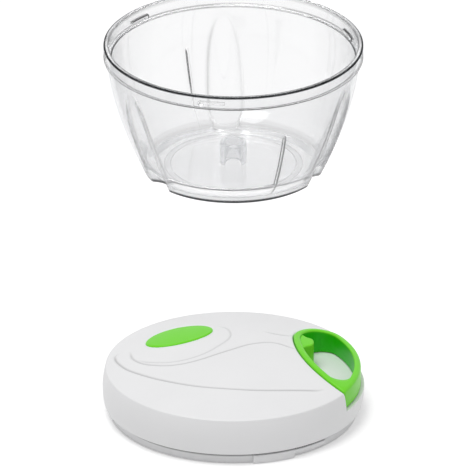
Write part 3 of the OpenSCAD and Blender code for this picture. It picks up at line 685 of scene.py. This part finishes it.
handle = Sizes(
    low=14.6, wall=3.2, proud=0.8, sideAt=(98.9, 22.7), sideR=70, sideFrom=243, backR=18.3,
    join=182.1, edgeR=61.2, cornerR=11, topRound=1.1, tipRound=0.9, holeRound=6.5,
    counts=(130, 50, 50, 90, 40), lowRound=0.35, lineTo=76, pocketTo=(90, -50), nearX=15,
    bossWide=14, bossTip=9, bossDeep=6.5, bossTop=26.6, bossRound=0.9, bossFall=0.2,
    bossRoot=((0, 2.5), (2.6, 0.6)), bossNose=((-3, 0.5), (-0.9, -0.9), (0, -3)),
    cordY=19.0, cordZ=19.5, boreR=1.1, boreRun=(9.0, 5.0, 0.0), knotAt=35.1, pocketR=2.8,
    pocketTop=22.7, sharp=40,
)
axisR = 0.02  # the radius where a solid of revolution closes
cutSides = 64


def sideR(z):
    return lid.coverR - lid.sideBow * ((z - lid.bowZ) / 10) ** 2


roundR = sideR(lid.shoulderZ) - lid.shoulderRound
domeR = roundR + lid.shoulderRound * math.cos(math.radians(lid.arcEnd))
domeEdge = lid.shoulderZ + lid.shoulderRound * math.sin(math.radians(lid.arcEnd))
domePower = math.tan(math.radians(90 - lid.arcEnd)) * domeR / (lid.height - domeEdge)
backAt = polar(handle.sideAt, handle.sideR - handle.backR, handle.join)
ovalCos = math.cos(math.radians(lid.inlayTurn))
ovalSin = math.sin(math.radians(lid.inlayTurn))


def coverZ(r):
    dome = lid.height - (lid.height - domeEdge) * (np.minimum(r, domeR) / domeR) ** domePower
    over = np.clip((r - roundR) / lid.shoulderRound, 0, 1)
    return np.where(r <= domeR, dome, lid.shoulderZ + lid.shoulderRound * np.sqrt(1 - over ** 2))


def handleLine(grow, steps=60):
    h = handle
    line = [polar(h.sideAt, h.sideR + grow, a) for a in np.linspace(h.sideFrom, h.join, steps)]
    line += [polar(backAt, h.backR + grow, a) for a in np.linspace(h.join, 90, steps)[1:]]
    top = backAt[1] + h.backR + grow
    return line + [(x, top) for x in np.linspace(backAt[0], h.lineTo, steps // 2)[1:]]


def pocketLoop(grow):
    line = handleLine(grow)
    x, y = handle.pocketTo
    return np.array(line + [(x, line[-1][1]), (x, y)])


def inOval(points):
    p = points - np.array(lid.inlayAt)
    return np.stack([p[:, 0] * ovalCos + p[:, 1] * ovalSin, -p[:, 0] * ovalSin + p[:, 1] * ovalCos], 1)


def ovalLoop(a, b, count):
    turns = np.linspace(0, 2 * math.pi, count, endpoint=False)
    x, y = a * np.cos(turns), b * np.sin(turns)
    middle = lid.inlayAt
    return np.stack([middle[0] + x * ovalCos - y * ovalSin, middle[1] + x * ovalSin + y * ovalCos], 1)


def coverSection():
    radii = np.concatenate([[lid.middleR], np.linspace(lid.firstR, domeR, lid.rings)])
    arc = np.radians(np.linspace(lid.arcEnd, lid.arcLow, lid.arcSteps)[1:])
    shoulder = np.stack([roundR + lid.shoulderRound * np.cos(arc),
        lid.shoulderZ + lid.shoulderRound * np.sin(arc)], 1)
    levels = np.linspace(lid.shoulderZ, lid.plugH + lid.sideLow, lid.sideRows)
    side = np.stack([sideR(levels), levels], 1)
    edge = [(sideR(lid.lipZ) - run, z) for run, z in lid.lip] + [(lid.openR, lid.plugH)]
    return np.vstack([np.stack([radii, coverZ(radii)], 1), shoulder, side, edge])


def makeCavity():  # the cover's hollow, less the pocket's wall
    thick = lid.coverT
    hollow = [(r, float(coverZ(r)) - thick) for r in np.linspace(lid.middleR, domeR - thick, lid.hollowRings)]
    hollow += [(sideR(z) - thick, z) for z in np.linspace(domeEdge - thick, lid.plugH, lid.hollowRows)]
    hollow += [(sideR(lid.plugH) - thick, lid.hollowLow)]
    cavity = spool("cavity", hollow, lid.hollowColumns, whitePlastic, lidAt)
    loop = pocketLoop(lid.gap + thick)
    cutBy(cavity, [prism("pocketWall", loop, lid.pocketZ - thick, lid.over, whitePlastic, lidAt)])
    return cavity


def makeCover():
    points, faces = revolve(coverSection(), lid.columns, True)
    flat = points[:, :2]
    top = points[:, 2] > domeEdge - lid.topFrom
    onTop = flat[top]
    drop = np.zeros(len(points))
    shadeAt = np.zeros(len(points))
    for name, share in lid.shares.items():
        path = curve(lid[name])
        gap = distanceTo(path, onTop)
        ends = [np.linalg.norm(onTop - end, axis=1) for end in (path[0], path[-1])]
        fade = share * np.clip(np.minimum(*ends) / lid.lineEnd + lid.lineEndShare, 0, 1)
        drop[top] = np.maximum(drop[top], fade * lid.lineDepth * np.exp(-(gap / lid.lineWidth) ** 2))
        # painted shade along each groove, a little wider than the groove's own dip
        shadeAt[top] = np.maximum(shadeAt[top], fade * np.exp(-(gap / lid.lineShade) ** 2))
    seat = pocketLoop(lid.gap)
    near = top & (flat[:, 0] > handle.nearX)
    away = distanceTo(np.array(handleLine(lid.gap)), flat[near])
    away = np.where(inside(seat, flat[near]), 0, away)
    bend = np.clip(1 - away / lid.pocketEdge, 0, 1)
    drop[near] += lid.pocketEdge * (1 - np.sqrt(1 - bend ** 2))
    oval = inOval(flat)
    a, b = lid.inlayA + lid.inlayGap, lid.inlayB + lid.inlayGap
    rim = np.hypot(oval[:, 0] / a, oval[:, 1] / b)
    lip = np.clip(1 - np.abs(rim - 1) * lid.inlayLipShare, 0, 1)
    drop += np.where(top, lid.inlayLip * (1 - np.sqrt(1 - lip ** 2)), 0)
    points[:, 2] -= drop
    made = solid("lidCover", points, faces, coverPlastic, lidAt)
    paint(made, "grooveShade", shadeAt)
    hole, sides = lid.cordHoleR, lid.cordHoleSides
    turns = np.linspace(0, 2 * math.pi, sides, endpoint=False)
    tube = [(x, handle.cordY + hole * math.cos(t), handle.cordZ + hole * math.sin(t))
        for x in lid.cordHoleX for t in turns]
    cordHole = solid("cordHole", tube, tubeFaces(2, sides), whitePlastic, lidAt)
    recess = prism("recess", ovalLoop(a, b, 180), *lid.recess, whitePlastic, lidAt)
    pocket = prism("pocket", seat, lid.pocketZ, lid.over, whitePlastic, lidAt)
    cutBy(made, [makeCavity(), pocket, recess, cordHole])
    smooth(made, lid.sharp)
    settle(made, "lid", "top_cover")


def makeInlay():
    edge, sides = lid.inlayEdge, lid.inlaySides

    def ovalRow(share, lift):
        loop = ovalLoop(lid.inlayA * share, lid.inlayB * share, sides)
        return np.column_stack([loop, coverZ(np.hypot(loop[:, 0], loop[:, 1])) + lift])

    rows = []
    for share in np.concatenate([np.linspace(*lid.inlayTop), np.linspace(*lid.inlayRim)]):
        bend = np.clip((share - edge) / (1 - edge), 0, 1)
        fall = lid.inlayLift * (1 - math.sqrt(1 - bend ** 2))
        rows.append(ovalRow(share, lid.inlayLift + lid.inlayCrown * (1 - share ** 2) - fall))
    rows.append(ovalRow(1, -lid.inlayDeep))
    made = solid("ovalInlay", np.vstack(rows), tubeFaces(len(rows), sides), greenPlastic, lidAt)
    smooth(made, lid.inlaySharp)
    settle(made, "lid", "oval_inlay")


def meetCircle(centre, radius, reach, way):  # where a circle meets one round the lid's axis, front 1, back -1
    d = math.hypot(*centre)
    a = (reach ** 2 - radius ** 2 + d ** 2) / (2 * d)
    h = math.sqrt(reach ** 2 - a ** 2)
    return ((centre[0] * a + way * centre[1] * h) / d, (centre[1] * a - way * centre[0] * h) / d)


def heading(start, end):
    return math.degrees(math.atan2(end[1] - start[1], end[0] - start[0]))


def handleEdge(shrink, tip):  # the handle's outline, its front end rounded by tip
    side, back = handle.sideR - shrink, handle.backR - shrink
    corner, reach = handle.cornerR - shrink, handle.edgeR - shrink
    cornerAt = meetCircle(backAt, back - corner, reach - corner, -1)
    tipAt = meetCircle(handle.sideAt, side - tip, reach - tip, 1)
    first, last = heading(backAt, cornerAt), heading((0, 0), cornerAt)
    start, end = heading((0, 0), tipAt), heading(handle.sideAt, tipAt)
    arcs = ((handle.sideAt, side, 360 + end, handle.join), (backAt, back, handle.join, first),
        (cornerAt, corner, first, last), ((0, 0), reach, last, start), (tipAt, tip, start, end))
    line = []
    for (centre, radius, begin, stop), count in zip(arcs, handle.counts):
        line += [polar(centre, radius, a) for a in np.linspace(begin, stop, count, endpoint=False)]
    return np.array(line)


def makeHandle():
    low, y = handle.low, handle.cordY
    outer = handleEdge(0, handle.tipRound)
    inner = handleEdge(handle.wall, handle.holeRound)
    count = len(outer)
    f = handle.topRound / handle.wall
    arc = np.linspace(0, math.pi / 2, 8)
    ease, flats = f * (1 - np.cos(arc)), np.linspace(f, 1 - f, 7)[1:-1]
    across = [*ease, *flats, *(1 - ease[::-1])]
    sink = [*(1 - np.sin(arc)), *(0 * flats), *(1 - np.sin(arc[::-1]))]
    rows = []
    for share, down in zip(across, sink):
        flat = outer + (inner - outer) * share
        z = coverZ(np.hypot(flat[:, 0], flat[:, 1])) + handle.proud - down * handle.topRound
        rows.append(np.column_stack([flat, z]))
    climb = np.linspace(0, 1, 14, endpoint=False)
    floor = low + handle.lowRound
    outside = [np.column_stack([outer, floor + (rows[0][:, 2] - floor) * t]) for t in climb]
    within = [np.column_stack([inner, floor + (rows[-1][:, 2] - floor) * t]) for t in climb[::-1]]
    under = [level(outer + (inner - outer) * s, low) for s in (0.9, 0.1)]
    points = np.vstack(outside + rows + within + under)
    made = solid("pullHandle", points, gridFaces(len(points) // count, count, True), greenPlastic, lidAt, 45)
    # painted shade: the hole's inside wall and the top's inner rounding are marked for the deeper green
    shadeRows = [0] * (len(outside) + len(rows) - 2) + [0.4, 0.8] + [1] * len(within) + [0, 0]
    paint(made, "holeShade", np.repeat(shadeRows, count))
    cutBy(made, [makeBoss()], "UNION")
    run = [(handle.knotAt - x, y, handle.cordZ) for x in handle.boreRun]
    bore = solid("bore", *sweep(run, handle.boreR, 32), greenPlastic, lidAt)
    wide, top = handle.pocketR, handle.pocketTop
    hollow = [(axisR, low - 1), (wide, low - 1), (wide, top), (axisR, top)]
    pocket = spool("knotPocket", hollow, cutSides, greenPlastic, (lidAt[0] + handle.knotAt, lidAt[1] + y))
    cutBy(made, [bore, pocket])
    smooth(made, handle.sharp)
    made.data.materials.clear()
    made.data.materials.append(greenPlastic)
    settle(made, "handle", "pull_handle")


def makeBoss():
    side = handle.sideAt[0] - handle.sideR
    wall = side + handle.wall * 0.5
    tip = side + handle.wall + handle.bossDeep
    low, top, soft = handle.low, handle.bossTop, handle.bossRound
    wide, narrow = handle.bossWide / 2, handle.bossTip / 2
    half = [(wall + x, wide + off) for x, off in handle.bossRoot]
    half += [(tip + x, narrow + off) for x, off in handle.bossNose]
    y = handle.cordY
    flare = curve([(x, y - off) for x, off in half] + [(x, y + off) for x, off in half[::-1]], 8)
    middle = np.array([(wall + tip) / 2, y])
    spokes = flare - middle
    rows = [level(middle + spokes * share, z) for share, z in ((0.9, low), (1, low + 0.3), (1, top))]
    for turn in np.linspace(0, math.pi / 2, 6)[1:]:
        inset = soft * (1 - math.cos(turn))
        loop = flare - spokes / np.linalg.norm(spokes, axis=1)[:, None] * inset
        slope = (loop[:, 0] - wall) / (tip - wall)
        rows.append(np.column_stack([loop, top + soft * math.sin(turn) * (1 - handle.bossFall * slope)]))
    rows.append(level(middle + spokes * 0.3, rows[-1][:, 2].mean()))
    return solid("boss", np.vstack(rows), tubeFaces(len(rows), len(flare)), greenPlastic, lidAt)


base = Sizes(
    plugR=59.2, plugIn=56.8, plateLow=3.2, high=5.6, spigotHigh=7.6, spigotR=59.78,
    grooveR=58.0, grooveLow=4.6, cupIn=21.5, cupOut=23.3, cupHigh=13.0, bushR=11.54,
    flangeR=13.04, flangeLow=4.8, sealR=12.51, housingR=15.01, housingLow=1.6,
    screwRing=50.0, screwAngles=(75, 155, 235, 305), bossR=4.3, bossLow=2.0, bossSunk=0.6,
    headR=2.83, headTop=3.6, holeR=1.43, holeLow=1.0, holeHigh=7.0,
    lugAngles=(279, 39, 159), lugIn=58.4, blockArc=20, blockR=60.8, blockHigh=4.2, blockSoft=0.45,
    # lineFrom and lineTo bound the ring's painted shade band under the cover's edge; lineShade is its
    # strength
    stripArc=19, stripR=60.6, stripLow=2.1, stripHigh=4.0, stripSoft=0.4, lineFrom=3.3,
    lineTo=4.0, lineShade=1.7, columns=288, sharp=36,
)


def arcBar(inR, outR, low, high, start, end, soft):  # a bar of rounded section along an arc, with eased ends
    section = np.array(rounded([(inR, low), (outR, low), (outR, high), (inR, high)], [0, soft, soft, 0], 4))
    middle = np.array([inR, (low + high) / 2])
    size = np.abs(section - middle).max(0)
    ease = np.array([0, 0.05, 0.2, 0.45])
    turns = np.concatenate([start + ease, np.linspace(start + 0.8, end - 0.8, 24), end - ease[::-1]])
    points = []
    for turn in turns:
        near = min(turn - start, end - turn)
        inset = soft * (1 - math.sqrt(1 - (1 - min(near / 0.5, 1)) ** 2))
        loop = middle + (section - middle) * (1 - inset / size)
        points += [(*polar((0, 0), r, turn), z) for r, z in loop]
    return solid("lug", points, tubeFaces(len(turns), len(section)), coverPlastic, lidAt)


def makeBase():
    b = base
    corners = [(b.sealR, b.housingLow, 0.2), (b.housingR, b.housingLow, 0.4),
        (b.housingR, b.plateLow, 0.3), (b.plugIn, b.plateLow, 0.8), (b.plugIn, 0, 0.5),
        (b.plugR, 0, 0.5), (b.plugR, b.lineFrom, 0), (b.plugR, b.lineTo, 0),
        (b.plugR, b.grooveLow, 0.1), (b.grooveR, b.grooveLow, 0), (b.grooveR, b.high, 0),
        (b.spigotR, b.high, 0.1), (b.spigotR, b.spigotHigh, 0.3), (b.plugIn, b.spigotHigh, 0.3),
        (b.plugIn, b.high, 0.4), (b.cupOut, b.high, 0.4), (b.cupOut, b.cupHigh, 0.2),
        (b.cupIn, b.cupHigh, 0.2), (b.cupIn, b.high, 0.3), (b.flangeR, b.high, 0),
        (b.flangeR, b.flangeLow, 0), (b.bushR, b.flangeLow, 0), (b.bushR, b.plateLow, 0),
        (b.sealR, b.plateLow, 0)]
    profile = rounded([c[:2] for c in corners], [c[2] for c in corners], 4)
    made = ring("lidRing", profile, b.columns, coverPlastic, lidAt)
    # painted shade: a dark band on the ring just under the cover's edge, where the gap lies in shade
    shaded = [r > b.grooveR - 0.1 and b.lineTo - 0.05 < z < b.high + 0.05 for r, z in profile]
    paint(made, "grooveShade", np.repeat(np.array(shaded) * b.lineShade, b.columns))
    parts = []
    for a in b.lugAngles:
        strip = a + b.blockArc - 1
        parts.append(arcBar(b.lugIn, b.blockR, 0.0, b.blockHigh, a, a + b.blockArc, b.blockSoft))
        parts.append(arcBar(b.lugIn, b.stripR, b.stripLow, b.stripHigh, strip, strip + b.stripArc,
            b.stripSoft))
    holes = []
    sunk = b.plateLow + b.bossSunk
    boss = rounded([(axisR, sunk), (axisR, b.bossLow), (b.bossR, b.bossLow), (b.bossR, sunk)],
        [0, 0, 0.4, 0], 4)
    hole = [(axisR, b.holeLow), (b.headR, b.holeLow), (b.headR, b.headTop),
        (b.holeR, b.headTop), (b.holeR, b.holeHigh), (axisR, b.holeHigh)]
    for a in b.screwAngles:
        at = polar(lidAt, b.screwRing, a)
        parts.append(spool("screwBoss", boss, cutSides, coverPlastic, at))
        holes.append(spool("screwHole", hole, cutSides, coverPlastic, at))
    cutBy(made, parts, "UNION")
    cutBy(made, holes)
    smooth(made, b.sharp)
    settle(made, "lid", "lid_base")


print("lid")
makeCover()
makeBase()
makeInlay()
makeHandle()


# cord and seals

cord = Sizes(radius=0.9, y=19.0, z=19.5, start=0.05, end=32.9, holdX=28.1, freeX=29.1,
    windR=19.0, pitch=1.85, windLow=16.95, windHigh=22.05, windStep=6, tuck=26, knotX=35.1,
    knotSize=0.5, knotRadius=0.8, knotDeep=1.4, sides=18, turnSides=14, sharp=60)
seals = Sizes(rimIn=58.03, rimOut=59.9, rimLow=4.63, rimHigh=5.57, rimNose=0.5, rimFlat=0.12,
    shaftIn=9.85, shaftOut=12.48, shaftLow=1.6, shaftHigh=3.17, sharp=50)


def cordPiece(name, points, faces):
    return solid(name, points, faces, braidedCord, lidAt, cord.sharp)


def makeCord():
    c = cord
    xs = np.concatenate([np.linspace(c.start, c.holdX, 30, endpoint=False),
        np.linspace(c.holdX, c.freeX, 90, endpoint=False), np.linspace(c.freeX, c.end, 10)])
    made = cordPiece("pullCord", *sweep([(x, c.y, c.z) for x in xs], c.radius, c.sides))
    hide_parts("cord_run")
    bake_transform(made)


def makeWinding():
    c = cord

    def turnsFrom(first, last):
        turns = np.radians(np.arange(first, last, c.windStep))
        rise = c.z - c.pitch * (turns - math.pi / 2) / (2 * math.pi)
        path = np.stack([c.windR * np.cos(turns), c.windR * np.sin(turns), rise], 1)
        return sweep(path, c.radius, c.turnSides)

    below, faces = turnsFrom(92, 90 + 360 * (c.z - c.windLow - c.radius * 0.1) / c.pitch)
    above, more = turnsFrom(90 - 360 * (c.windHigh - c.z) / c.pitch, 90 - c.tuck)
    faces += [[k + len(below) for k in face] for face in more]
    settle(cordPiece("cordTurns", np.vstack([below, above]), faces), "drum", "cord_winding")


def makeKnot():
    c = cord
    t = np.linspace(0, 2 * math.pi, 120, endpoint=False)
    across, up = np.sin(t) + 2 * np.sin(2 * t), np.cos(t) - 2 * np.cos(2 * t)
    path = np.stack([-np.sin(3 * t) * c.knotDeep, across, up], 1) * c.knotSize + (c.knotX, c.y, c.z)
    made = cordPiece("cordKnot", *sweep(path, c.knotRadius, c.turnSides, True))
    settle(made, "handle", "cord_knot")


def makeSeals():
    s = seals
    mid, nose = (s.rimLow + s.rimHigh) / 2, s.rimOut - s.rimNose
    lip = rounded([(s.rimIn, s.rimLow), (nose, s.rimLow), (s.rimOut, mid - s.rimFlat),
        (s.rimOut, mid + s.rimFlat), (nose, s.rimHigh), (s.rimIn, s.rimHigh)], 0.18, 4)
    rim = ring("rimSeal", lip, 256, greyRubber, lidAt, s.sharp)
    settle(rim, "lid", "rim_seal")
    inR = s.shaftIn
    collar = rounded([(inR + 0.5, s.shaftLow + 0.5), (inR, s.shaftLow), (inR + 0.9, s.shaftLow),
        (s.shaftOut, s.shaftLow), (s.shaftOut, s.shaftHigh), (inR + 0.6, s.shaftHigh)], 0.2, 4)
    shaft = ring("shaftSeal", collar, 128, greyRubber, lidAt, s.sharp)
    settle(shaft, "lid", "shaft_seal")


print("cord and seals")
makeCord()
makeWinding()
makeKnot()
makeSeals()


# blade unit

blades = Sizes(root=10.0, reach=36.0, sweep=34.0, width=15.0, tipShare=0.22, thick=1.2, ground=3.4,
    groundFrom=0.06, edge=0.22, back=0.97, backRound=0.12, hubIn=9.03, hubOut=11.0, hubGap=0.004,
    stations=70, sharp=20, places=(("lower", 5.0, 180), ("middle", 23.0, 300), ("upper", 41.0, 60)))
unit = Sizes(sleeveIn=9.03, sleeveOut=11.0, sleeveRound=0.7, waist=0.35, waistHalf=(1.1, 1.4),
    sleeves=(("lower", 6.2, 23.0), ("middle", 24.2, 41.0), ("upper", 42.2, 56.0)),
    footOut=14.0, footEdge=2.6, footTop=0.8, footHigh=5.0, keyLow=46.0, collarLow=56.0,
    collarHigh=58.0, keyHigh=66.0, keyR=6.0, stemR=4.5, boreR=3.3, boreLow=63.2, boreHigh=68,
    keyTop=((1, 0.9), (0.985, 0.5), (0.95, 0.2), (0.9, 0.04), (0.86, 0)), columns=160)


def makeBlade(label, low, turn):
    b = blades
    thick, thirds = b.thick, (0.33, 0.66, 1)
    points = []
    for t in np.linspace(0, 1, b.stations):
        reach = b.root + (b.reach - b.root) * t
        wide = b.width * (1 - (1 - b.tipShare) * t * t)
        half = math.asin(wide / 2 / reach)
        middle = math.radians(b.sweep) * t * t + math.radians(turn)
        begun = min(1, max(0, (t - b.groundFrom) / b.groundFrom))
        flat = min(1, b.ground / wide * begun + 0.001)
        grind = (thick - b.edge) * begun
        section = [(0, 0.0), (0, thick - grind)]
        section += [(flat * s, thick - grind * (1 - s)) for s in thirds]
        section += [(flat + (b.back - flat) * s, thick) for s in thirds]
        section += [(1, thick - b.backRound), (1, b.backRound), (b.back, 0), (0.6, 0), (0.3, 0)]
        for across, z in section:
            a = middle - half + 2 * half * across
            points.append((reach * math.cos(a), reach * math.sin(a), low + z))
    count = len(section)
    made = solid(label + "Blade", points, tubeFaces(b.stations, count), brushedSteel, bladeAt, b.sharp)
    paint(made, "ground", np.tile([0, 1, 1, 1, 1] + [0] * (count - 5), b.stations))
    bottom, top = low + b.hubGap, low + thick - b.hubGap
    around = [(b.hubIn, bottom), (b.hubOut, bottom), (b.hubOut, top), (b.hubIn, top)]
    cutBy(made, [ring("hub", around, 128, brushedSteel, bladeAt)], "UNION")
    smooth(made, b.sharp)
    settle(made, "blade_unit", label + "_blade")


def makeSleeve(label, low, high):
    inR, outR, soft = unit.sleeveIn, unit.sleeveOut, unit.sleeveRound
    mid, waist = (low + high) / 2, outR - unit.waist
    near, wide = unit.waistHalf
    profile = rounded([(inR, low), (outR, low), (outR, mid - wide), (waist, mid - near), (waist, mid + near),
        (outR, mid + wide), (outR, high), (inR, high)], [0, soft, 0.2, 0.2, 0.2, 0.2, soft, 0])
    made = ring(label + "Sleeve", profile, unit.columns, whitePlastic, bladeAt, 40)
    settle(made, "blade_unit", label + "_sleeve")


def makeFoot():
    u = unit
    profile = rounded([(u.sleeveIn, 0), (u.footOut, 0), (u.footOut, u.footEdge),
        (u.sleeveOut + u.footTop, u.footHigh), (u.sleeveIn, u.footHigh)], [0.2, 0.5, 1.1, 0.8, 0], 6)
    made = ring("shaftFoot", profile, u.columns, greyRubber, bladeAt, 40)
    settle(made, "blade_unit", "shaft_foot")


def makeKey():
    u = unit
    profile = rounded([(axisR, u.keyLow), (u.stemR, u.keyLow), (u.stemR, u.collarLow),
        (u.sleeveOut, u.collarLow), (u.sleeveOut, u.collarHigh), (axisR, u.collarHigh)],
        [0, 0.4, 0, 0.3, 0.6, 0])
    made = spool("driveKey", profile, u.columns, greyPlastic, bladeAt)
    loop = np.array(rounded([polar((0, 0), u.keyR, a) for a in range(0, 360, 60)], 0.5, 4))
    rows = [level(loop, u.collarHigh - 0.5)]
    rows += [level(loop * share, u.keyHigh - down) for share, down in u.keyTop]
    hexagon = solid("hexagon", np.vstack(rows), tubeFaces(len(rows), len(loop)), greyPlastic, bladeAt)
    hole = [(axisR, u.boreLow), (u.boreR, u.boreLow), (u.boreR, u.boreHigh), (axisR, u.boreHigh)]
    bore = spool("bore", hole, cutSides, greyPlastic, bladeAt)
    cutBy(made, [hexagon], "UNION")
    cutBy(made, [bore])
    smooth(made, 35)
    settle(made, "blade_unit", "drive_key")


print("blade unit")
for place in blades.places:
    makeBlade(*place)
for place in unit.sleeves:
    makeSleeve(*place)
makeFoot()
makeKey()


# carried-over solids

carried = {
    "cord_eyelet": brushedSteel, "base_screws": brushedSteel, "drive_bush": bushBronze,
    "spring_plate": whitePlastic, "return_spring": brushedSteel, "cord_drum": whitePlastic,
    "drum_flange": whitePlastic, "drum_washer": brushedSteel, "drive_socket": greyPlastic,
    "drive_screw": brushedSteel, "blade_shaft": whitePlastic,
}
for name, finish in carried.items():
    nodes[name].data.materials.clear()
    nodes[name].data.materials.append(finish)
print("carried-over solids dressed")

# stage, light and camera, in metres apart from the shot

stage = Sizes(floor=30.0, floorDrop=0.0002, floorColour=(0.9, 0.9, 0.9, 1), floorRough=0.9,
    floorLift=0.3, world=0.43, aim=(0, -0.15, 0))
lamps = {"key": {"at": (-0.35, -0.55, 1.95), "size": 1.2, "power": 21.5},
    "fill": {"at": (1.2, -0.9, 1.2), "size": 1.0, "power": 1.4}}
shot = Sizes(elevation=25.0, distance=10500.0, frameMm=229.6, aim=(0.8, -80.35, 0.0), sensor=36,
    clip=(0.5, 40))


def seenDirectly(made):  # 1 for the camera's own rays and for those that mirrors and clear walls pass on
    camera, glossy, through = (made.node("ShaderNodeLightPath", out=k)
        for k in ("Is Camera Ray", "Is Glossy Ray", "Is Transmission Ray"))
    return made.maths("MAXIMUM", camera + glossy, through)


def makeStage():
    half = stage.floor / 2 / mm
    corners = [(-half, -half, 0), (half, -half, 0), (half, half, 0), (-half, half, 0)]
    made = Finish("paleFloor")
    made.set(Base_Color=stage.floorColour, Roughness=stage.floorRough)
    made.shader.inputs["Specular IOR Level"].default_value = 0.0
    glow = made.node("ShaderNodeEmission", None, {"Color": (1, 1, 1, 1), "Strength": stage.floorLift})
    lit = made.node("ShaderNodeAddShader", None, {0: made.surface(), 1: glow})
    made.feed(made.output.inputs[0], made.mixed(seenDirectly(made), made.surface(), lit))
    floor = piece("floor", corners, [(0, 1, 2, 3)], made.material)
    floor.location.z = -stage.floorDrop
    studio = bpy.data.worlds.new("studio")
    studio.use_nodes = True
    bpy.context.scene.world = studio
    sky = Sky(studio)
    sky.feed(sky.shader.inputs[1], stage.world + seenDirectly(sky) * (1 - stage.world))


def addToScene(name, data, at, way):  # an object that looks along a way
    made = bpy.data.objects.new(name, data)
    made.location = at
    made.rotation_euler = way.to_track_quat("-Z", "Y").to_euler()
    bpy.context.scene.collection.objects.link(made)
    return made


def makeLamps():
    for name, lamp in lamps.items():
        data = bpy.data.lights.new(name, "AREA")
        data.energy = lamp["power"]
        data.size = lamp["size"]
        addToScene(name, data, lamp["at"], Vector(stage.aim) - Vector(lamp["at"]))


def makeCamera():
    data = bpy.data.cameras.new("photoCamera")
    data.sensor_width = shot.sensor
    data.lens = shot.sensor * shot.distance / shot.frameMm
    data.clip_start, data.clip_end = shot.clip
    e = math.radians(shot.elevation)
    back = Vector((0, -math.cos(e), math.sin(e)))
    place = (Vector(shot.aim) + back * shot.distance) * mm
    bpy.context.scene.camera = addToScene("photoCamera", data, place, -back)


makeStage()
makeLamps()
makeCamera()
bpy.context.scene.view_settings.view_transform = "Standard"
print("stage, light and camera set")
